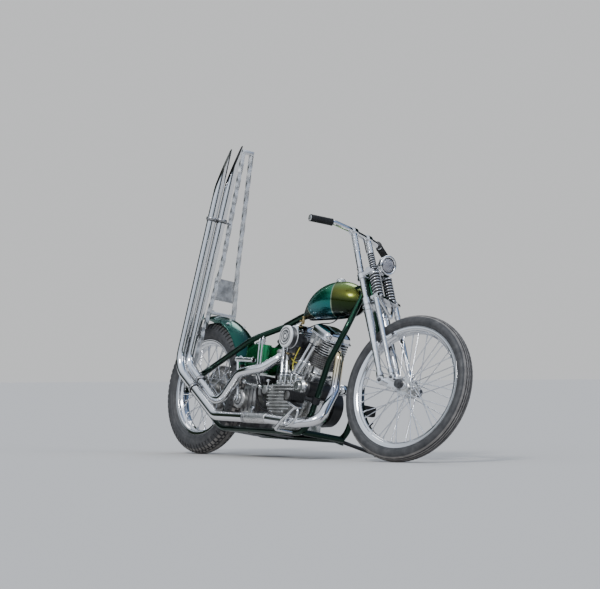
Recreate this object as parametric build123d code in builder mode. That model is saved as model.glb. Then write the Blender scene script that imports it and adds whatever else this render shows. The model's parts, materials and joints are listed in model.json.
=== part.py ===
from build123d import *
import math
import os

# A rigid-framed chopper with an open V-twin, a springer fork and a tall sissy bar.
# Millimetres. Each piece is drawn on the upright machine: X forward, Y to the rider's left, Z up,
# with the origin on the ground under the rear axle. The fork's pieces are drawn in the fork's own
# frame: X ahead of the steering axis, Y to the left, Z up along the steering axis from the ground.
# At the end all of it is steered to its left stop and leaned over onto the side stand.

# The stance
WHEELBASE = 1584
RAKE = 28
TRAIL = 82
STEER_REST = 15.5
LEAN = 9.8

# The wheels: tyre radius, section width, crown, bead seat, rim flange and half widths
REAR_RADIUS = 332
REAR_WIDTH = 104
REAR_CROWN_WIDTH = 76
REAR_CROWN_DROP = 16
REAR_BEAD = 229
REAR_FLANGE = 241
REAR_RIM_HALF = 34
FRONT_RADIUS = 340
FRONT_WIDTH = 80
FRONT_CROWN_WIDTH = 56
FRONT_CROWN_DROP = 12
FRONT_BEAD = 267
FRONT_FLANGE = 282
FRONT_RIM_HALF = 27
RIM_SHEET = 3.5
SPOKES = 40
SPOKE_RADIUS = 2
SPOKE_CROSS = 54
AXLE_RADIUS = 9
AXLE_GAP = 0.08

# The frame's tubes
TUBE = 14
RAIL_Y = 115
RAIL_Z = 104
DROPOUT_Y = 102
DROPOUT_WIDTH = 8
NECK_RADIUS = 26
NECK_BOTTOM = 819
NECK_TOP = 931
STEM_RADIUS = 14
STEM_GAP = 0.08
CROWN_GAP = 0.5

# The engine: crank centre, the V, and the heights along each cylinder's axis
CRANK_X = 855
CRANK_Z = 262
V_HALF = 22.5
CASE_RADIUS = 118
CASE_HALF = 58
DECK = 148
FIN_BASE = 193
HEAD_BASE = 258
HEAD_TOP = 331
PAN_TOP = 380
BARREL_RADIUS = 56
FIN_RADIUS = 79
FIN_MEET = 3
FIN_THICK = 3.2
FIN_STEP = 9.2
HEAD_HALF_X = 84
HEAD_HALF_Y = 70
CHEST_Y = 76
PRIMARY_Y = 96
CHEST_DEPTH = 62
CHEST_TOP = 70
CHEST_RIB = 7
TAPPET_TOP = 112
GENERATOR_X = 985
GENERATOR_Z = 312
GENERATOR_RADIUS = 40

# The pipes
PIPE_RADIUS = 22.25
PIPE_WALL = 2
FRONT_TIP = 1520
REAR_TIP = 1546
TIP_SLANT = 200
FRONT_PIPE_Y = -196
REAR_PIPE_Y = -149

# The final drive
CHAIN_Y = 72
CHAIN_PITCH = 15.875
WHEEL_TEETH = 48
BOX_TEETH = 20
GEARBOX_X = 505
GEARBOX_Z = 262
ROLLER_RADIUS = 5
CHAIN_HALF = 9
SPROCKET_HALF = 3

# The springer fork, in its own frame
LEG_Y_LOW = 75
LEG_Y_TOP = 62
REAR_PIVOT_Z = 395
SPRING_LEG_X = 61
SPRING_PIVOT_Z = 381
PERCH_Z = 806
LOWER_CROWN_Z = 806
TOP_TREE_Z = 945
SPRING_Y = 48
RISER_TOP = 1194
RISER_Y_TOP = 55
BAR_RADIUS = 12.7
ROCKER_Y = 52
ROCKER_WIDTH = 10

rake = math.radians(RAKE)
lean = math.radians(LEAN)
steer = math.radians(STEER_REST)
axle_x = -TRAIL * math.cos(rake) + FRONT_RADIUS * math.sin(rake)
axle_z = TRAIL * math.sin(rake) + FRONT_RADIUS * math.cos(rake)
steering = Plane(
    origin=(WHEELBASE + TRAIL, 0, 0),
    x_dir=(math.cos(rake), 0, math.sin(rake)),
    z_dir=(-math.sin(rake), 0, math.cos(rake)),
)
steered = steering.location * Location((0, 0, 0), (0, 0, STEER_REST))


def crown_radius(width, drop):
    """Radius of the arc across a tyre's tread."""
    half = width / 2
    return (half * half + drop * drop) / (2 * drop)


def wheel_low(centre, axis, radius, crown):
    """Height of the lowest point of a tilted tyre, from its centre and its axle's direction."""
    return centre.Z - (radius - crown) * math.sqrt(1 - axis.Z * axis.Z) - crown


def tilt(pitch):
    """The machine leaned to its left, with its nose turned down by pitch degrees."""
    return Location((0, 0, 0), (-LEAN, 0, 0)) * Location((0, 0, 0), (0, pitch, 0))


def lows(pitch):
    """The lowest points of the rear and the front tyre for a pitch."""
    leaned = tilt(pitch)
    rear = leaned * Location((0, 0, REAR_RADIUS))
    front = leaned * steered * Location((axle_x, 0, axle_z))
    rear_axis = Plane(rear).y_dir
    front_axis = Plane(front).y_dir
    rear_crown = crown_radius(REAR_CROWN_WIDTH, REAR_CROWN_DROP)
    front_crown = crown_radius(FRONT_CROWN_WIDTH, FRONT_CROWN_DROP)
    return (
        wheel_low(rear.position, rear_axis, REAR_RADIUS, rear_crown),
        wheel_low(front.position, front_axis, FRONT_RADIUS, front_crown),
    )


low_pitch, high_pitch = -3.0, 3.0
for _ in range(50):
    middle = (low_pitch + high_pitch) / 2
    rear_low, front_low = lows(middle)
    if front_low > rear_low:
        low_pitch = middle
    else:
        high_pitch = middle
PITCH = (low_pitch + high_pitch) / 2
parked = Location((0, 0, -lows(PITCH)[0])) * tilt(PITCH)

pieces = {}


def keep(builder, label, fork=False):
    """Name a finished piece and note whether it steers."""
    builder.part.label = label
    pieces[label] = builder.part.moved(parked * steered if fork else parked)
    pieces[label].label = label


def tube(points, radius, bends, bore=0, mode=Mode.ADD):
    """A round tube along straight runs joined by tangent arcs."""
    with BuildLine() as route:
        if bends:
            FilletPolyline(*points, radius=bends)
        else:
            Line(*points)
    with BuildSketch(Plane(origin=route.line @ 0, z_dir=route.line % 0)) as section:
        Circle(radius)
        if bore:
            Circle(bore, mode=Mode.SUBTRACT)
    sweep(section.sketch, path=route.line, mode=mode)


def rod(start, end, radius, end_radius=None, mode=Mode.ADD):
    """A straight round bar, tapered where it has a second radius."""
    a, b = Vector(start), Vector(end)
    with Locations(Plane(origin=a, z_dir=b - a).location):
        low = (Align.CENTER, Align.CENTER, Align.MIN)
        if end_radius is None:
            Cylinder(radius, (b - a).length, align=low, mode=mode)
        else:
            Cone(radius, end_radius, (b - a).length, align=low, mode=mode)


def across(x, z, y_from, y_to, radius, mode=Mode.ADD):
    """A round bar across the machine."""
    rod((x, y_from, z), (x, y_to, z), radius, mode=mode)


def block(x, y, z, mode=Mode.ADD):
    """A square-cornered block between two limits on each axis."""
    with Locations(((x[0] + x[1]) / 2, (y[0] + y[1]) / 2, (z[0] + z[1]) / 2)):
        Box(x[1] - x[0], y[1] - y[0], z[1] - z[0], mode=mode)


def plate(points, y_from, y_to, mode=Mode.ADD):
    """A flat plate of any outline in the machine's side view, between two widths."""
    side = Plane(origin=(0, y_to, 0), x_dir=(1, 0, 0), z_dir=(0, -1, 0))
    with BuildSketch(side) as outline:
        with BuildLine():
            Polyline(*points, close=True)
        make_face()
    extrude(outline.sketch, amount=y_to - y_from, mode=mode)


# The side stand's pin: its leg swings from its forward stop to lie back along the rail
foot_ground = parked.inverse() * Location((1035, 330, 0))
ankle = (foot_ground * Location((0, 0, 9))).position
stand_pivot = Vector(975, 143, 104)
folded_leg = Vector(-1, 0.28, 0.05)
stand_turn = (ankle - stand_pivot).cross(folded_leg).normalized()
stand_hinge = Plane(origin=stand_pivot, x_dir=Vector(0, 1, 0) - stand_turn * stand_turn.Y, z_dir=stand_turn)
PIN_RADIUS = 6
PIN_GAP = 0.08
EYE_HALF = 10

# Frame: neck, backbone, seat post, and on each side a wishbone downtube with its lower rail and a stay
neck_low = steering.from_local_coords(Vector(0, 0, NECK_BOTTOM))
neck_high = steering.from_local_coords(Vector(0, 0, NECK_TOP))
neck_mid = (neck_low + neck_high) * 0.5
seat_joint = (600, 0, 634)
backbone_route = [seat_joint, (722, 0, 674), (neck_mid.X - 4, 0, neck_mid.Z + 20)]
BACKBONE = 17

with BuildPart() as frame:
    rod(neck_low, neck_high, NECK_RADIUS)
    tube(backbone_route, BACKBONE, [200])
    rod(seat_joint, (578, 0, RAIL_Z + 6), TUBE)
    for side in (-1, 1):
        tube(
            [
                (neck_mid.X - 38, side * 16, neck_mid.Z + 14),
                (1222, side * 98, 590),
                (1147, side * RAIL_Y, 436),
                (1035, side * RAIL_Y, RAIL_Z),
                (330, side * (RAIL_Y - 3), RAIL_Z + 14),
                (8, side * DROPOUT_Y, 306),
            ],
            TUBE,
            [120, 120, 90, 160],
        )
        tube(
            [
                (20, side * DROPOUT_Y, 359),
                (464, side * 88, 560),
                (600, side * 6, 630),
            ],
            TUBE,
            [200],
        )
        plate(
            [(-46, 292), (24, 290), (40, 330), (30, 372), (-46, 366)],
            side * DROPOUT_Y - DROPOUT_WIDTH / 2,
            side * DROPOUT_Y + DROPOUT_WIDTH / 2,
        )
    across(578, RAIL_Z + 7, -RAIL_Y, RAIL_Y, TUBE)
    across(1022, RAIL_Z + 4, -RAIL_Y, RAIL_Y, TUBE)
    gusset = [(-20, 44), (-52, 30), (-46, -34), (10, -56)]
    plate([(neck_mid.X + x, neck_mid.Z + z) for x, z in gusset], -9, 9)
    for x in (850, 1060):
        along = (Vector(backbone_route[2]) - Vector(backbone_route[1])).normalized()
        mount = Vector(backbone_route[1]) + along * (x - 722)
        rod(mount, mount + along * 24, BACKBONE + 3)
    block((495, 590), (-14, 14), (470, 482))
    block((425, 585), (-60, 60), (177, 187))
    block((572, 720), (-45, 45), (112, 122))
    block((880, 1000), (-45, 45), (112, 122))
    with BuildSketch(stand_hinge.offset(-EYE_HALF - 8), stand_hinge.offset(EYE_HALF + 1)) as ears:
        with Locations((-8, 0)):
            Rectangle(36, 22)
    extrude(ears.sketch, amount=7)
    rod(stand_pivot - stand_turn * (EYE_HALF + 4), stand_pivot + stand_turn * (EYE_HALF + 4), PIN_RADIUS)
    across(0, REAR_RADIUS, -DROPOUT_Y - 26, DROPOUT_Y + 26, AXLE_RADIUS, mode=Mode.SUBTRACT)
    rod(neck_low, neck_high, STEM_RADIUS + STEM_GAP, mode=Mode.SUBTRACT)
keep(frame, "frame")

# Rear axle with its two nuts
with BuildPart() as rear_axle:
    across(0, REAR_RADIUS, -DROPOUT_Y - 22, DROPOUT_Y + 22, AXLE_RADIUS)
    for side in (-1, 1):
        nut = Plane(origin=(0, side * (DROPOUT_Y + DROPOUT_WIDTH / 2), REAR_RADIUS), z_dir=(0, side, 0))
        with BuildSketch(nut):
            RegularPolygon(16, 6)
        extrude(amount=12)
keep(rear_axle, "rear_axle")


def tyre_ring(centre, radius, width, crown_width, crown_drop, bead, flange, rim_half):
    """A tyre's section turned about its axle: bead, side wall and crown."""
    shoulder = radius - crown_drop
    belly = (bead + radius) / 2 + 6
    seat = rim_half - RIM_SHEET
    with BuildSketch(Plane(origin=centre)) as section:
        with BuildLine():
            ThreePointArc((shoulder, -crown_width / 2), (radius, 0), (shoulder, crown_width / 2))
            ThreePointArc((shoulder, crown_width / 2), (belly, width / 2), (flange, seat))
            Polyline((flange, seat), (bead, seat), (bead, -seat), (flange, -seat))
            ThreePointArc((flange, -seat), (belly, -width / 2), (shoulder, -crown_width / 2))
        make_face()
    revolve(section.sketch, axis=Axis(centre, (0, 1, 0)))


def wire_wheel(centre, bead, flange, rim_half, hub_radius, hub_half, barrel_radius, flange_radius, flange_y):
    """A chromed rim, its crossed spokes and the hub that they leave."""
    well = bead - 10
    sheet = RIM_SHEET
    seat = rim_half - sheet
    with BuildSketch(Plane(origin=centre)) as section:
        with BuildLine():
            Polyline(
                (flange, rim_half), (flange, seat), (bead, seat), (bead, 19), (well, 13),
                (well, -13), (bead, -19), (bead, -seat), (flange, -seat), (flange, -rim_half),
                (bead - sheet, -rim_half), (bead - sheet, -21), (well - sheet, -15),
                (well - sheet, 15), (bead - sheet, 21), (bead - sheet, rim_half),
                close=True,
            )
        make_face()
    revolve(section.sketch, axis=Axis(centre, (0, 1, 0)))
    x, y, z = centre
    across(x, z, -hub_half, hub_half, hub_radius)
    across(x, z, -flange_y, flange_y, barrel_radius)
    for side in (-1, 1):
        across(x, z, side * (flange_y - 3), side * (flange_y + 3), flange_radius)
    hole = flange_radius - 6
    for side in (-1, 1):
        for k in range(SPOKES // 4):
            for way in (-1, 1):
                step = 1440 / SPOKES
                start = math.radians(k * step + (step / 2 if way < 0 else 0) + (step / 4 if side < 0 else 0))
                end = start + way * math.radians(SPOKE_CROSS)
                rod(
                    (x + hole * math.cos(start), side * (flange_y + 2.8 * way), z + hole * math.sin(start)),
                    (x + (well - 1) * math.cos(end), side * 7, z + (well - 1) * math.sin(end)),
                    SPOKE_RADIUS,
                )


rear_centre = (0, 0, REAR_RADIUS)
front_centre = (axle_x, 0, axle_z)

with BuildPart() as rear_tyre:
    tyre_ring(
        rear_centre, REAR_RADIUS, REAR_WIDTH, REAR_CROWN_WIDTH, REAR_CROWN_DROP,
        REAR_BEAD, REAR_FLANGE, REAR_RIM_HALF,
    )
keep(rear_tyre, "rear_tyre")

with BuildPart() as rear_rim:
    wire_wheel(rear_centre, REAR_BEAD, REAR_FLANGE, REAR_RIM_HALF, 26, 84, 34, 58, 34)
    across(0, REAR_RADIUS, 40, 60, 98)
    across(0, REAR_RADIUS, -90, 90, AXLE_RADIUS + AXLE_GAP, mode=Mode.SUBTRACT)
keep(rear_rim, "rear_rim")

with BuildPart() as front_tyre:
    tyre_ring(
        front_centre, FRONT_RADIUS, FRONT_WIDTH, FRONT_CROWN_WIDTH, FRONT_CROWN_DROP,
        FRONT_BEAD, FRONT_FLANGE, FRONT_RIM_HALF,
    )
keep(front_tyre, "front_tyre", fork=True)

with BuildPart() as front_rim:
    wire_wheel(front_centre, FRONT_BEAD, FRONT_FLANGE, FRONT_RIM_HALF, 20, 48, 24, 42, 28)
    across(axle_x, axle_z, -60, 60, AXLE_RADIUS + AXLE_GAP, mode=Mode.SUBTRACT)
keep(front_rim, "front_rim", fork=True)

# Rear sprocket, bolted to the drum
wheel_pitch = CHAIN_PITCH / (2 * math.sin(math.pi / WHEEL_TEETH))
box_pitch = CHAIN_PITCH / (2 * math.sin(math.pi / BOX_TEETH))
sprocket_tip = wheel_pitch - ROLLER_RADIUS - 2.5
with BuildPart() as rear_sprocket:
    across(0, REAR_RADIUS, CHAIN_Y - SPROCKET_HALF, CHAIN_Y + SPROCKET_HALF, sprocket_tip)
    across(0, REAR_RADIUS, 60, CHAIN_Y - SPROCKET_HALF, 62)
    across(0, REAR_RADIUS, 50, 90, 26, mode=Mode.SUBTRACT)
keep(rear_sprocket, "rear_sprocket")

# Chain: one loop round the rear sprocket and the gearbox sprocket
with BuildPart() as chain:
    span = math.hypot(GEARBOX_X, GEARBOX_Z - REAR_RADIUS)
    slope = math.atan2(GEARBOX_Z - REAR_RADIUS, GEARBOX_X)
    wrap = math.acos((wheel_pitch - box_pitch) / span)

    def loop(extra):
        """The chain's outline in side view, its pitch line moved out by extra."""
        rear, box = wheel_pitch + extra, box_pitch + extra
        up, down = slope + wrap, slope - wrap
        points = [
            (rear * math.cos(a), REAR_RADIUS + rear * math.sin(a)) for a in (up, slope + math.pi, down)
        ]
        ends = [
            (GEARBOX_X + box * math.cos(a), GEARBOX_Z + box * math.sin(a)) for a in (down, slope, up)
        ]
        with BuildLine() as edge:
            ThreePointArc(*points)
            Line(points[2], ends[0])
            ThreePointArc(*ends)
            Line(ends[2], points[0])
        make_face(edge.edges())

    with BuildSketch(Plane(origin=(0, CHAIN_Y + CHAIN_HALF, 0), x_dir=(1, 0, 0), z_dir=(0, -1, 0))):
        loop(ROLLER_RADIUS + 2)
    extrude(amount=2 * CHAIN_HALF)
    with BuildSketch(Plane(origin=(0, CHAIN_Y + CHAIN_HALF, 0), x_dir=(1, 0, 0), z_dir=(0, -1, 0))):
        loop(-ROLLER_RADIUS - 2)
    extrude(amount=2 * CHAIN_HALF, mode=Mode.SUBTRACT)
keep(chain, "chain")

# Fuel tank: a teardrop lofted over the backbone, with its tunnel
TANK = [  # station x, half width, bottom z, top z
    (718, 9, 650, 668),
    (772, 28, 654, 708),
    (850, 66, 658, 780),
    (950, 92, 660, 826),
    (1060, 92, 664, 836),
    (1140, 64, 676, 811),
    (1182, 26, 706, 780),
]
with BuildPart() as fuel_tank:
    for x, half, bottom, top in TANK:
        with BuildSketch(Plane(origin=(x, 0, (bottom + top) / 2), x_dir=(0, 1, 0), z_dir=(1, 0, 0))):
            Ellipse(half, (top - bottom) / 2)
    loft()
    tunnel = BACKBONE + 3
    tube(backbone_route, tunnel, [200], mode=Mode.SUBTRACT)
    under = [(p[0], p[2]) for p in backbone_route]
    plate([(under[0][0], 560), (under[-1][0], 560)] + under[::-1], -tunnel, tunnel, mode=Mode.SUBTRACT)
    rod((1000, 0, 815), (1000, 0, 838), 17)
keep(fuel_tank, "fuel_tank")

with BuildPart() as fuel_cap:
    rod((1000, 0, 838), (1000, 0, 846), 21)
    rod((1000, 0, 846), (1000, 0, 856), 19, 15)
keep(fuel_cap, "fuel_cap")

# Oil tank behind the seat post
with BuildPart() as oil_tank:
    with BuildSketch(Plane.XY.offset(398)):
        with Locations((456, 0)):
            RectangleRounded(180, 148, 50)
    extrude(amount=138)
    with BuildSketch(Plane.XY.offset(380)):
        with Locations((555, 0)):
            Rectangle(120, 60)
    extrude(amount=180, mode=Mode.SUBTRACT)
    across(0, REAR_RADIUS, -150, 150, 374, mode=Mode.SUBTRACT)
keep(oil_tank, "oil_tank")

with BuildPart() as oil_lines:
    for x, drop, top in ((500, 530, 558), (524, 552, 566)):
        tube(
            [(x, -60, 530), (x + 4, -62, top), (x + 22, -88, top + 4), (drop, -84, 376), (drop, -60, 330)],
            4.5,
            [8, 12, 20],
        )
    block((440, 600), (-76, -40), (500, 536), mode=Mode.SUBTRACT)
    block((440, 600), (-90, -40), (310, 337), mode=Mode.SUBTRACT)
keep(oil_lines, "oil_lines")

# Rear fender: one curved sheet round the tyre
FENDER = REAR_RADIUS + 34
FENDER_HALF = 68
FENDER_EDGE = REAR_RADIUS + 10
FENDER_FROM = 106
FENDER_ARC = 88
SHEET = 3
with BuildPart() as rear_fender:
    at = math.radians(FENDER_FROM)
    start_plane = Plane(
        origin=rear_centre,
        x_dir=(math.cos(at), 0, math.sin(at)),
        z_dir=(-math.sin(at), 0, math.cos(at)),
    )
    with BuildSketch(start_plane):
        with BuildLine():
            ThreePointArc((FENDER_EDGE, -FENDER_HALF), (FENDER, 0), (FENDER_EDGE, FENDER_HALF))
            Line((FENDER_EDGE, FENDER_HALF), (FENDER_EDGE, FENDER_HALF - SHEET))
            ThreePointArc(
                (FENDER_EDGE, FENDER_HALF - SHEET), (FENDER - SHEET, 0), (FENDER_EDGE, SHEET - FENDER_HALF)
            )
            Line((FENDER_EDGE, SHEET - FENDER_HALF), (FENDER_EDGE, -FENDER_HALF))
        make_face()
    revolve(axis=Axis(rear_centre, (0, 1, 0)), revolution_arc=FENDER_ARC)
keep(rear_fender, "rear_fender")

# Sissy bar: two square bars that close towards the top, joined by a short bar
BAR_SQUARE = 20
SISSY_TOP = 1550
PLATE_LOW = REAR_RADIUS + 443
PLATE_HIGH = REAR_RADIUS + 550


def sissy_leg(side, mode=Mode.ADD):
    """One square leg of the sissy bar."""
    corners = [
        (-32, side * 116.2, REAR_RADIUS - 16), (8, side * 116.2, REAR_RADIUS + 108),
        (18, side * (FENDER_HALF + 11.5), REAR_RADIUS + 332), (36, side * 47, 960),
        (50, side * 24, SISSY_TOP - 14),
    ]
    with BuildLine() as leg:
        FilletPolyline(*corners, radius=[40, 120, 300])
    with BuildSketch(Plane(origin=leg.line @ 0, z_dir=leg.line % 0)) as section:
        Rectangle(BAR_SQUARE, BAR_SQUARE)
    sweep(section.sketch, path=leg.line, mode=mode)


with BuildPart() as sissy_bar:
    for side in (-1, 1):
        sissy_leg(side)
    block((41, 61), (-34, 34), (SISSY_TOP - 20, SISSY_TOP))
    block((8, 26), (-70, 70), (REAR_RADIUS + FENDER, REAR_RADIUS + FENDER + 14))
keep(sissy_bar, "sissy_bar")

with BuildPart() as plate_bracket:
    block((14, 24), (-60, 60), (PLATE_LOW, PLATE_HIGH))
    rod((14, 0, PLATE_HIGH - 32), (-16, 0, PLATE_HIGH - 32), 30)
    for side in (-1, 1):
        sissy_leg(side, mode=Mode.SUBTRACT)
keep(plate_bracket, "plate_bracket")


# The pipes' routes, from the ports to beyond the slanted tips
front_route = [
    (1050, -20, 500), (1096, -22, 478), (1104, -28, 318), (1164, -136, 158), (1052, -190, 140),
    (838, FRONT_PIPE_Y, 156), (392, FRONT_PIPE_Y, 165), (-2, FRONT_PIPE_Y, 403),
    (119, FRONT_PIPE_Y + 36, 1580),
]
rear_route = [
    (693, -58, 486), (688, -80, 462), (632, -126, 408), (560, REAR_PIPE_Y, 394), (478, REAR_PIPE_Y, 382),
    (332, REAR_PIPE_Y, 224), (14, REAR_PIPE_Y, 430), (137, REAR_PIPE_Y + 36, 1580),
]


def cylinder_plane(way, height):
    """A plane square to a cylinder's axis, at a height above the crank."""
    a = math.radians(V_HALF) * way
    return Plane(
        origin=(CRANK_X + height * math.sin(a), 0, CRANK_Z + height * math.cos(a)),
        x_dir=(math.cos(a), 0, -math.sin(a)),
        z_dir=(math.sin(a), 0, math.cos(a)),
    )


# Crankcase: two halves round the flywheels with a deck for each cylinder
with BuildPart() as crankcase:
    across(CRANK_X, CRANK_Z, -CASE_HALF, CASE_HALF, CASE_RADIUS)
    for way in (-1, 1):
        with BuildSketch(cylinder_plane(way, 60)):
            RectangleRounded(118, 2 * CASE_HALF, 12)
        extrude(amount=DECK - 60)
    block((CRANK_X - 170, CRANK_X + 60), (-CASE_HALF, CASE_HALF), (CRANK_Z - 140, CRANK_Z - 40))
    across(CRANK_X, CRANK_Z, -CHEST_Y, PRIMARY_Y, 70)
    block((CRANK_X + 80, CRANK_X + 130), (-40, 40), (CRANK_Z + 6, CRANK_Z + 56))
    across(GENERATOR_X, GENERATOR_Z, -120, 60, GENERATOR_RADIUS, mode=Mode.SUBTRACT)
keep(crankcase, "crankcase")

# Cam cover: the ribbed chest on the right, with a tappet block under each pushrod
CHEST = [
    (-128, 50), (-104, CHEST_TOP), (64, CHEST_TOP), (88, 36), (72, -40), (0, -70), (-90, -70), (-128, -30),
]
PUSHRODS = [(-82, -1, -18), (-44, -1, 18), (4, 1, -18), (42, 1, 18)]  # foot x, way, head offset
PUSHROD_Y = -CHEST_Y - 28
with BuildPart() as cam_cover:
    chest_face = -CHEST_Y - CHEST_DEPTH
    plate([(CRANK_X + x, CRANK_Z + z) for x, z in CHEST], chest_face - CHEST_RIB, -CHEST_Y)
    for k in range(9):
        z = CRANK_Z - 78 + 18 * k
        block((CRANK_X - 140, CRANK_X + 100), (chest_face - CHEST_RIB, chest_face), (z, z + 8), mode=Mode.SUBTRACT)
    for foot, way, offset in PUSHRODS:
        block(
            (CRANK_X + foot - 15, CRANK_X + foot + 15), (PUSHROD_Y - 17, PUSHROD_Y + 17),
            (CRANK_Z + CHEST_TOP, CRANK_Z + TAPPET_TOP),
        )
keep(cam_cover, "cam_cover")

# Cylinders: barrels with their fins, one solid each
with BuildPart() as cylinders:
    for way in (-1, 1):
        with BuildSketch(cylinder_plane(way, DECK)):
            Circle(BARREL_RADIUS)
        extrude(amount=HEAD_BASE - DECK)
        for k in range(int((HEAD_BASE - FIN_BASE) / FIN_STEP)):
            with BuildSketch(cylinder_plane(way, FIN_BASE + k * FIN_STEP)):
                Circle(FIN_RADIUS)
            extrude(amount=FIN_THICK)
    block((CRANK_X - FIN_MEET, CRANK_X + FIN_MEET), (-120, 120), (CRANK_Z, CRANK_Z + 400), mode=Mode.SUBTRACT)
    for route in (rear_route, front_route):
        leaving = (Vector(route[1]) - Vector(route[0])).normalized()
        rod(Vector(route[0]), Vector(route[0]) + leaving * 70, PIPE_RADIUS + 1, mode=Mode.SUBTRACT)
keep(cylinders, "cylinders")

with BuildPart() as cylinder_heads:
    for way, route in ((-1, rear_route), (1, front_route)):
        leaving = (Vector(route[1]) - Vector(route[0])).normalized()
        rod(Vector(route[0]) - leaving * 48, Vector(route[0]), PIPE_RADIUS + 5)
        with BuildSketch(cylinder_plane(way, HEAD_BASE)):
            RectangleRounded(2 * HEAD_HALF_X - 24, 2 * HEAD_HALF_Y - 24, 30)
        extrude(amount=HEAD_TOP - HEAD_BASE)
        for k in range(6):
            with BuildSketch(cylinder_plane(way, HEAD_BASE + 4 + k * 10)):
                RectangleRounded(2 * HEAD_HALF_X, 2 * HEAD_HALF_Y, 40)
            extrude(amount=FIN_THICK)
        with BuildSketch(cylinder_plane(way, HEAD_TOP - 34)):
            with Locations((0, -HEAD_HALF_Y - 6)):
                RectangleRounded(80, 40, 8)
        extrude(amount=34)
        with BuildSketch(cylinder_plane(way, HEAD_BASE - 80)):
            Circle(FIN_RADIUS)
        extrude(amount=80, mode=Mode.SUBTRACT)
        rod(Vector(route[0]), Vector(route[0]) + leaving * 70, PIPE_RADIUS + 1, mode=Mode.SUBTRACT)
keep(cylinder_heads, "cylinder_heads")

with BuildPart() as rocker_covers:
    for way in (-1, 1):
        with BuildSketch(cylinder_plane(way, HEAD_TOP)):
            with Locations((0, -6)):
                RectangleRounded(2 * HEAD_HALF_X - 2, 2 * HEAD_HALF_Y + 24, 30)
        extrude(amount=9)
        with BuildSketch(cylinder_plane(way, HEAD_TOP + 9)) as low_pan:
            with Locations((0, -6)):
                RectangleRounded(2 * HEAD_HALF_X - 18, 2 * HEAD_HALF_Y + 8, 28)
        extrude(amount=PAN_TOP - HEAD_TOP - 9, taper=12)
keep(rocker_covers, "rocker_covers")

# Pushrod tubes: two to each cylinder, from the cam chest to the head
with BuildPart() as pushrod_tubes:
    for foot, way, offset in PUSHRODS:
        low = Vector(CRANK_X + foot, PUSHROD_Y, CRANK_Z + TAPPET_TOP - 20)
        head = cylinder_plane(way, HEAD_TOP).from_local_coords(Vector(offset, -HEAD_HALF_Y - 14, 0))
        split_at = low + (head - low) * 0.42
        rod(low, split_at, 11)
        rod(split_at, head, 8)
    block((CRANK_X - 120, CRANK_X + 120), (-140, -60), (CRANK_Z, CRANK_Z + TAPPET_TOP), mode=Mode.SUBTRACT)
    for way in (-1, 1):
        with BuildSketch(cylinder_plane(way, HEAD_TOP - 34)):
            Rectangle(150, 260)
        extrude(amount=60, mode=Mode.SUBTRACT)
keep(pushrod_tubes, "pushrod_tubes")

# Carburettor on its manifold, and the round air cleaner
CARB_X = 841
CARB_Z = 545
with BuildPart() as carburettor:
    across(CARB_X, CARB_Z, -128, -50, 24)
    rod((CRANK_X - 90, -40, CARB_Z - 10), (CRANK_X + 90, -40, CARB_Z - 10), 20)
    block((CARB_X - 28, CARB_X + 30), (-122, -84), (CARB_Z - 62, CARB_Z + 30))
    for way in (-1, 1):
        with BuildSketch(cylinder_plane(way, HEAD_BASE - 30)):
            with Locations((way * 100, -40)):
                Rectangle(200 + 2 * HEAD_HALF_X, 120)
        extrude(amount=140, mode=Mode.SUBTRACT)
keep(carburettor, "carburettor")

with BuildPart() as air_cleaner:
    across(CARB_X + 4, CARB_Z + 8, -172, -128, 50)
    across(CARB_X + 4, CARB_Z + 8, -168, -140, 53)
keep(air_cleaner, "air_cleaner")

with BuildPart() as generator:
    across(GENERATOR_X, GENERATOR_Z, -115, 50, GENERATOR_RADIUS)
keep(generator, "generator")

# Exhaust pipes
def exhaust(route, bends, top):
    """A bent pipe, cut off on a long slant that faces away from the machine."""
    tube(route, PIPE_RADIUS, bends, PIPE_RADIUS - PIPE_WALL)
    low, high = Vector(route[-2]), Vector(route[-1])
    tip = low + (high - low) * ((top - low.Z) / (high.Z - low.Z))
    slant = [
        (PIPE_RADIUS + 8, 0), (PIPE_RADIUS - 3, 0), (-PIPE_RADIUS - 8, -TIP_SLANT), (-80, -TIP_SLANT),
        (-80, 120), (PIPE_RADIUS + 8, 120),
    ]
    with BuildSketch(Plane(origin=(tip.X - 60, tip.Y, tip.Z), x_dir=(0, 1, 0), z_dir=(1, 0, 0))) as cut:
        with BuildLine():
            Polyline(*slant, close=True)
        make_face()
    extrude(cut.sketch, amount=120, mode=Mode.SUBTRACT)


with BuildPart() as front_exhaust:
    exhaust(front_route, [32, 90, 60, 90, 120, 90, 130], FRONT_TIP)
keep(front_exhaust, "front_exhaust")

with BuildPart() as rear_exhaust:
    exhaust(rear_route, [24, 60, 120, 80, 92, 75], REAR_TIP)
keep(rear_exhaust, "rear_exhaust")

# Upper clamps: a ring round each pipe and a stay from them to the sissy bar
CLAMP_Z = 1158
with BuildPart() as pipe_clamps:
    rings = []
    for route in (front_route, rear_route):
        low, high = Vector(route[-2]), Vector(route[-1])
        along = (high - low).normalized()
        ring = low + along * ((CLAMP_Z - low.Z) / along.Z)
        rod(ring - along * 7, ring + along * 7, PIPE_RADIUS + 3)
        rings.append(ring)
    rod(rings[0], rings[1], 6)
    rod(rings[1], (42, -37, CLAMP_Z), 6)
    for route in (front_route, rear_route):
        rod(route[-2], route[-1], PIPE_RADIUS, mode=Mode.SUBTRACT)
    sissy_leg(-1, mode=Mode.SUBTRACT)
    block((0, 90), (-30, 30), (CLAMP_Z - 20, CLAMP_Z + 20), mode=Mode.SUBTRACT)
keep(pipe_clamps, "pipe_clamps")

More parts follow.
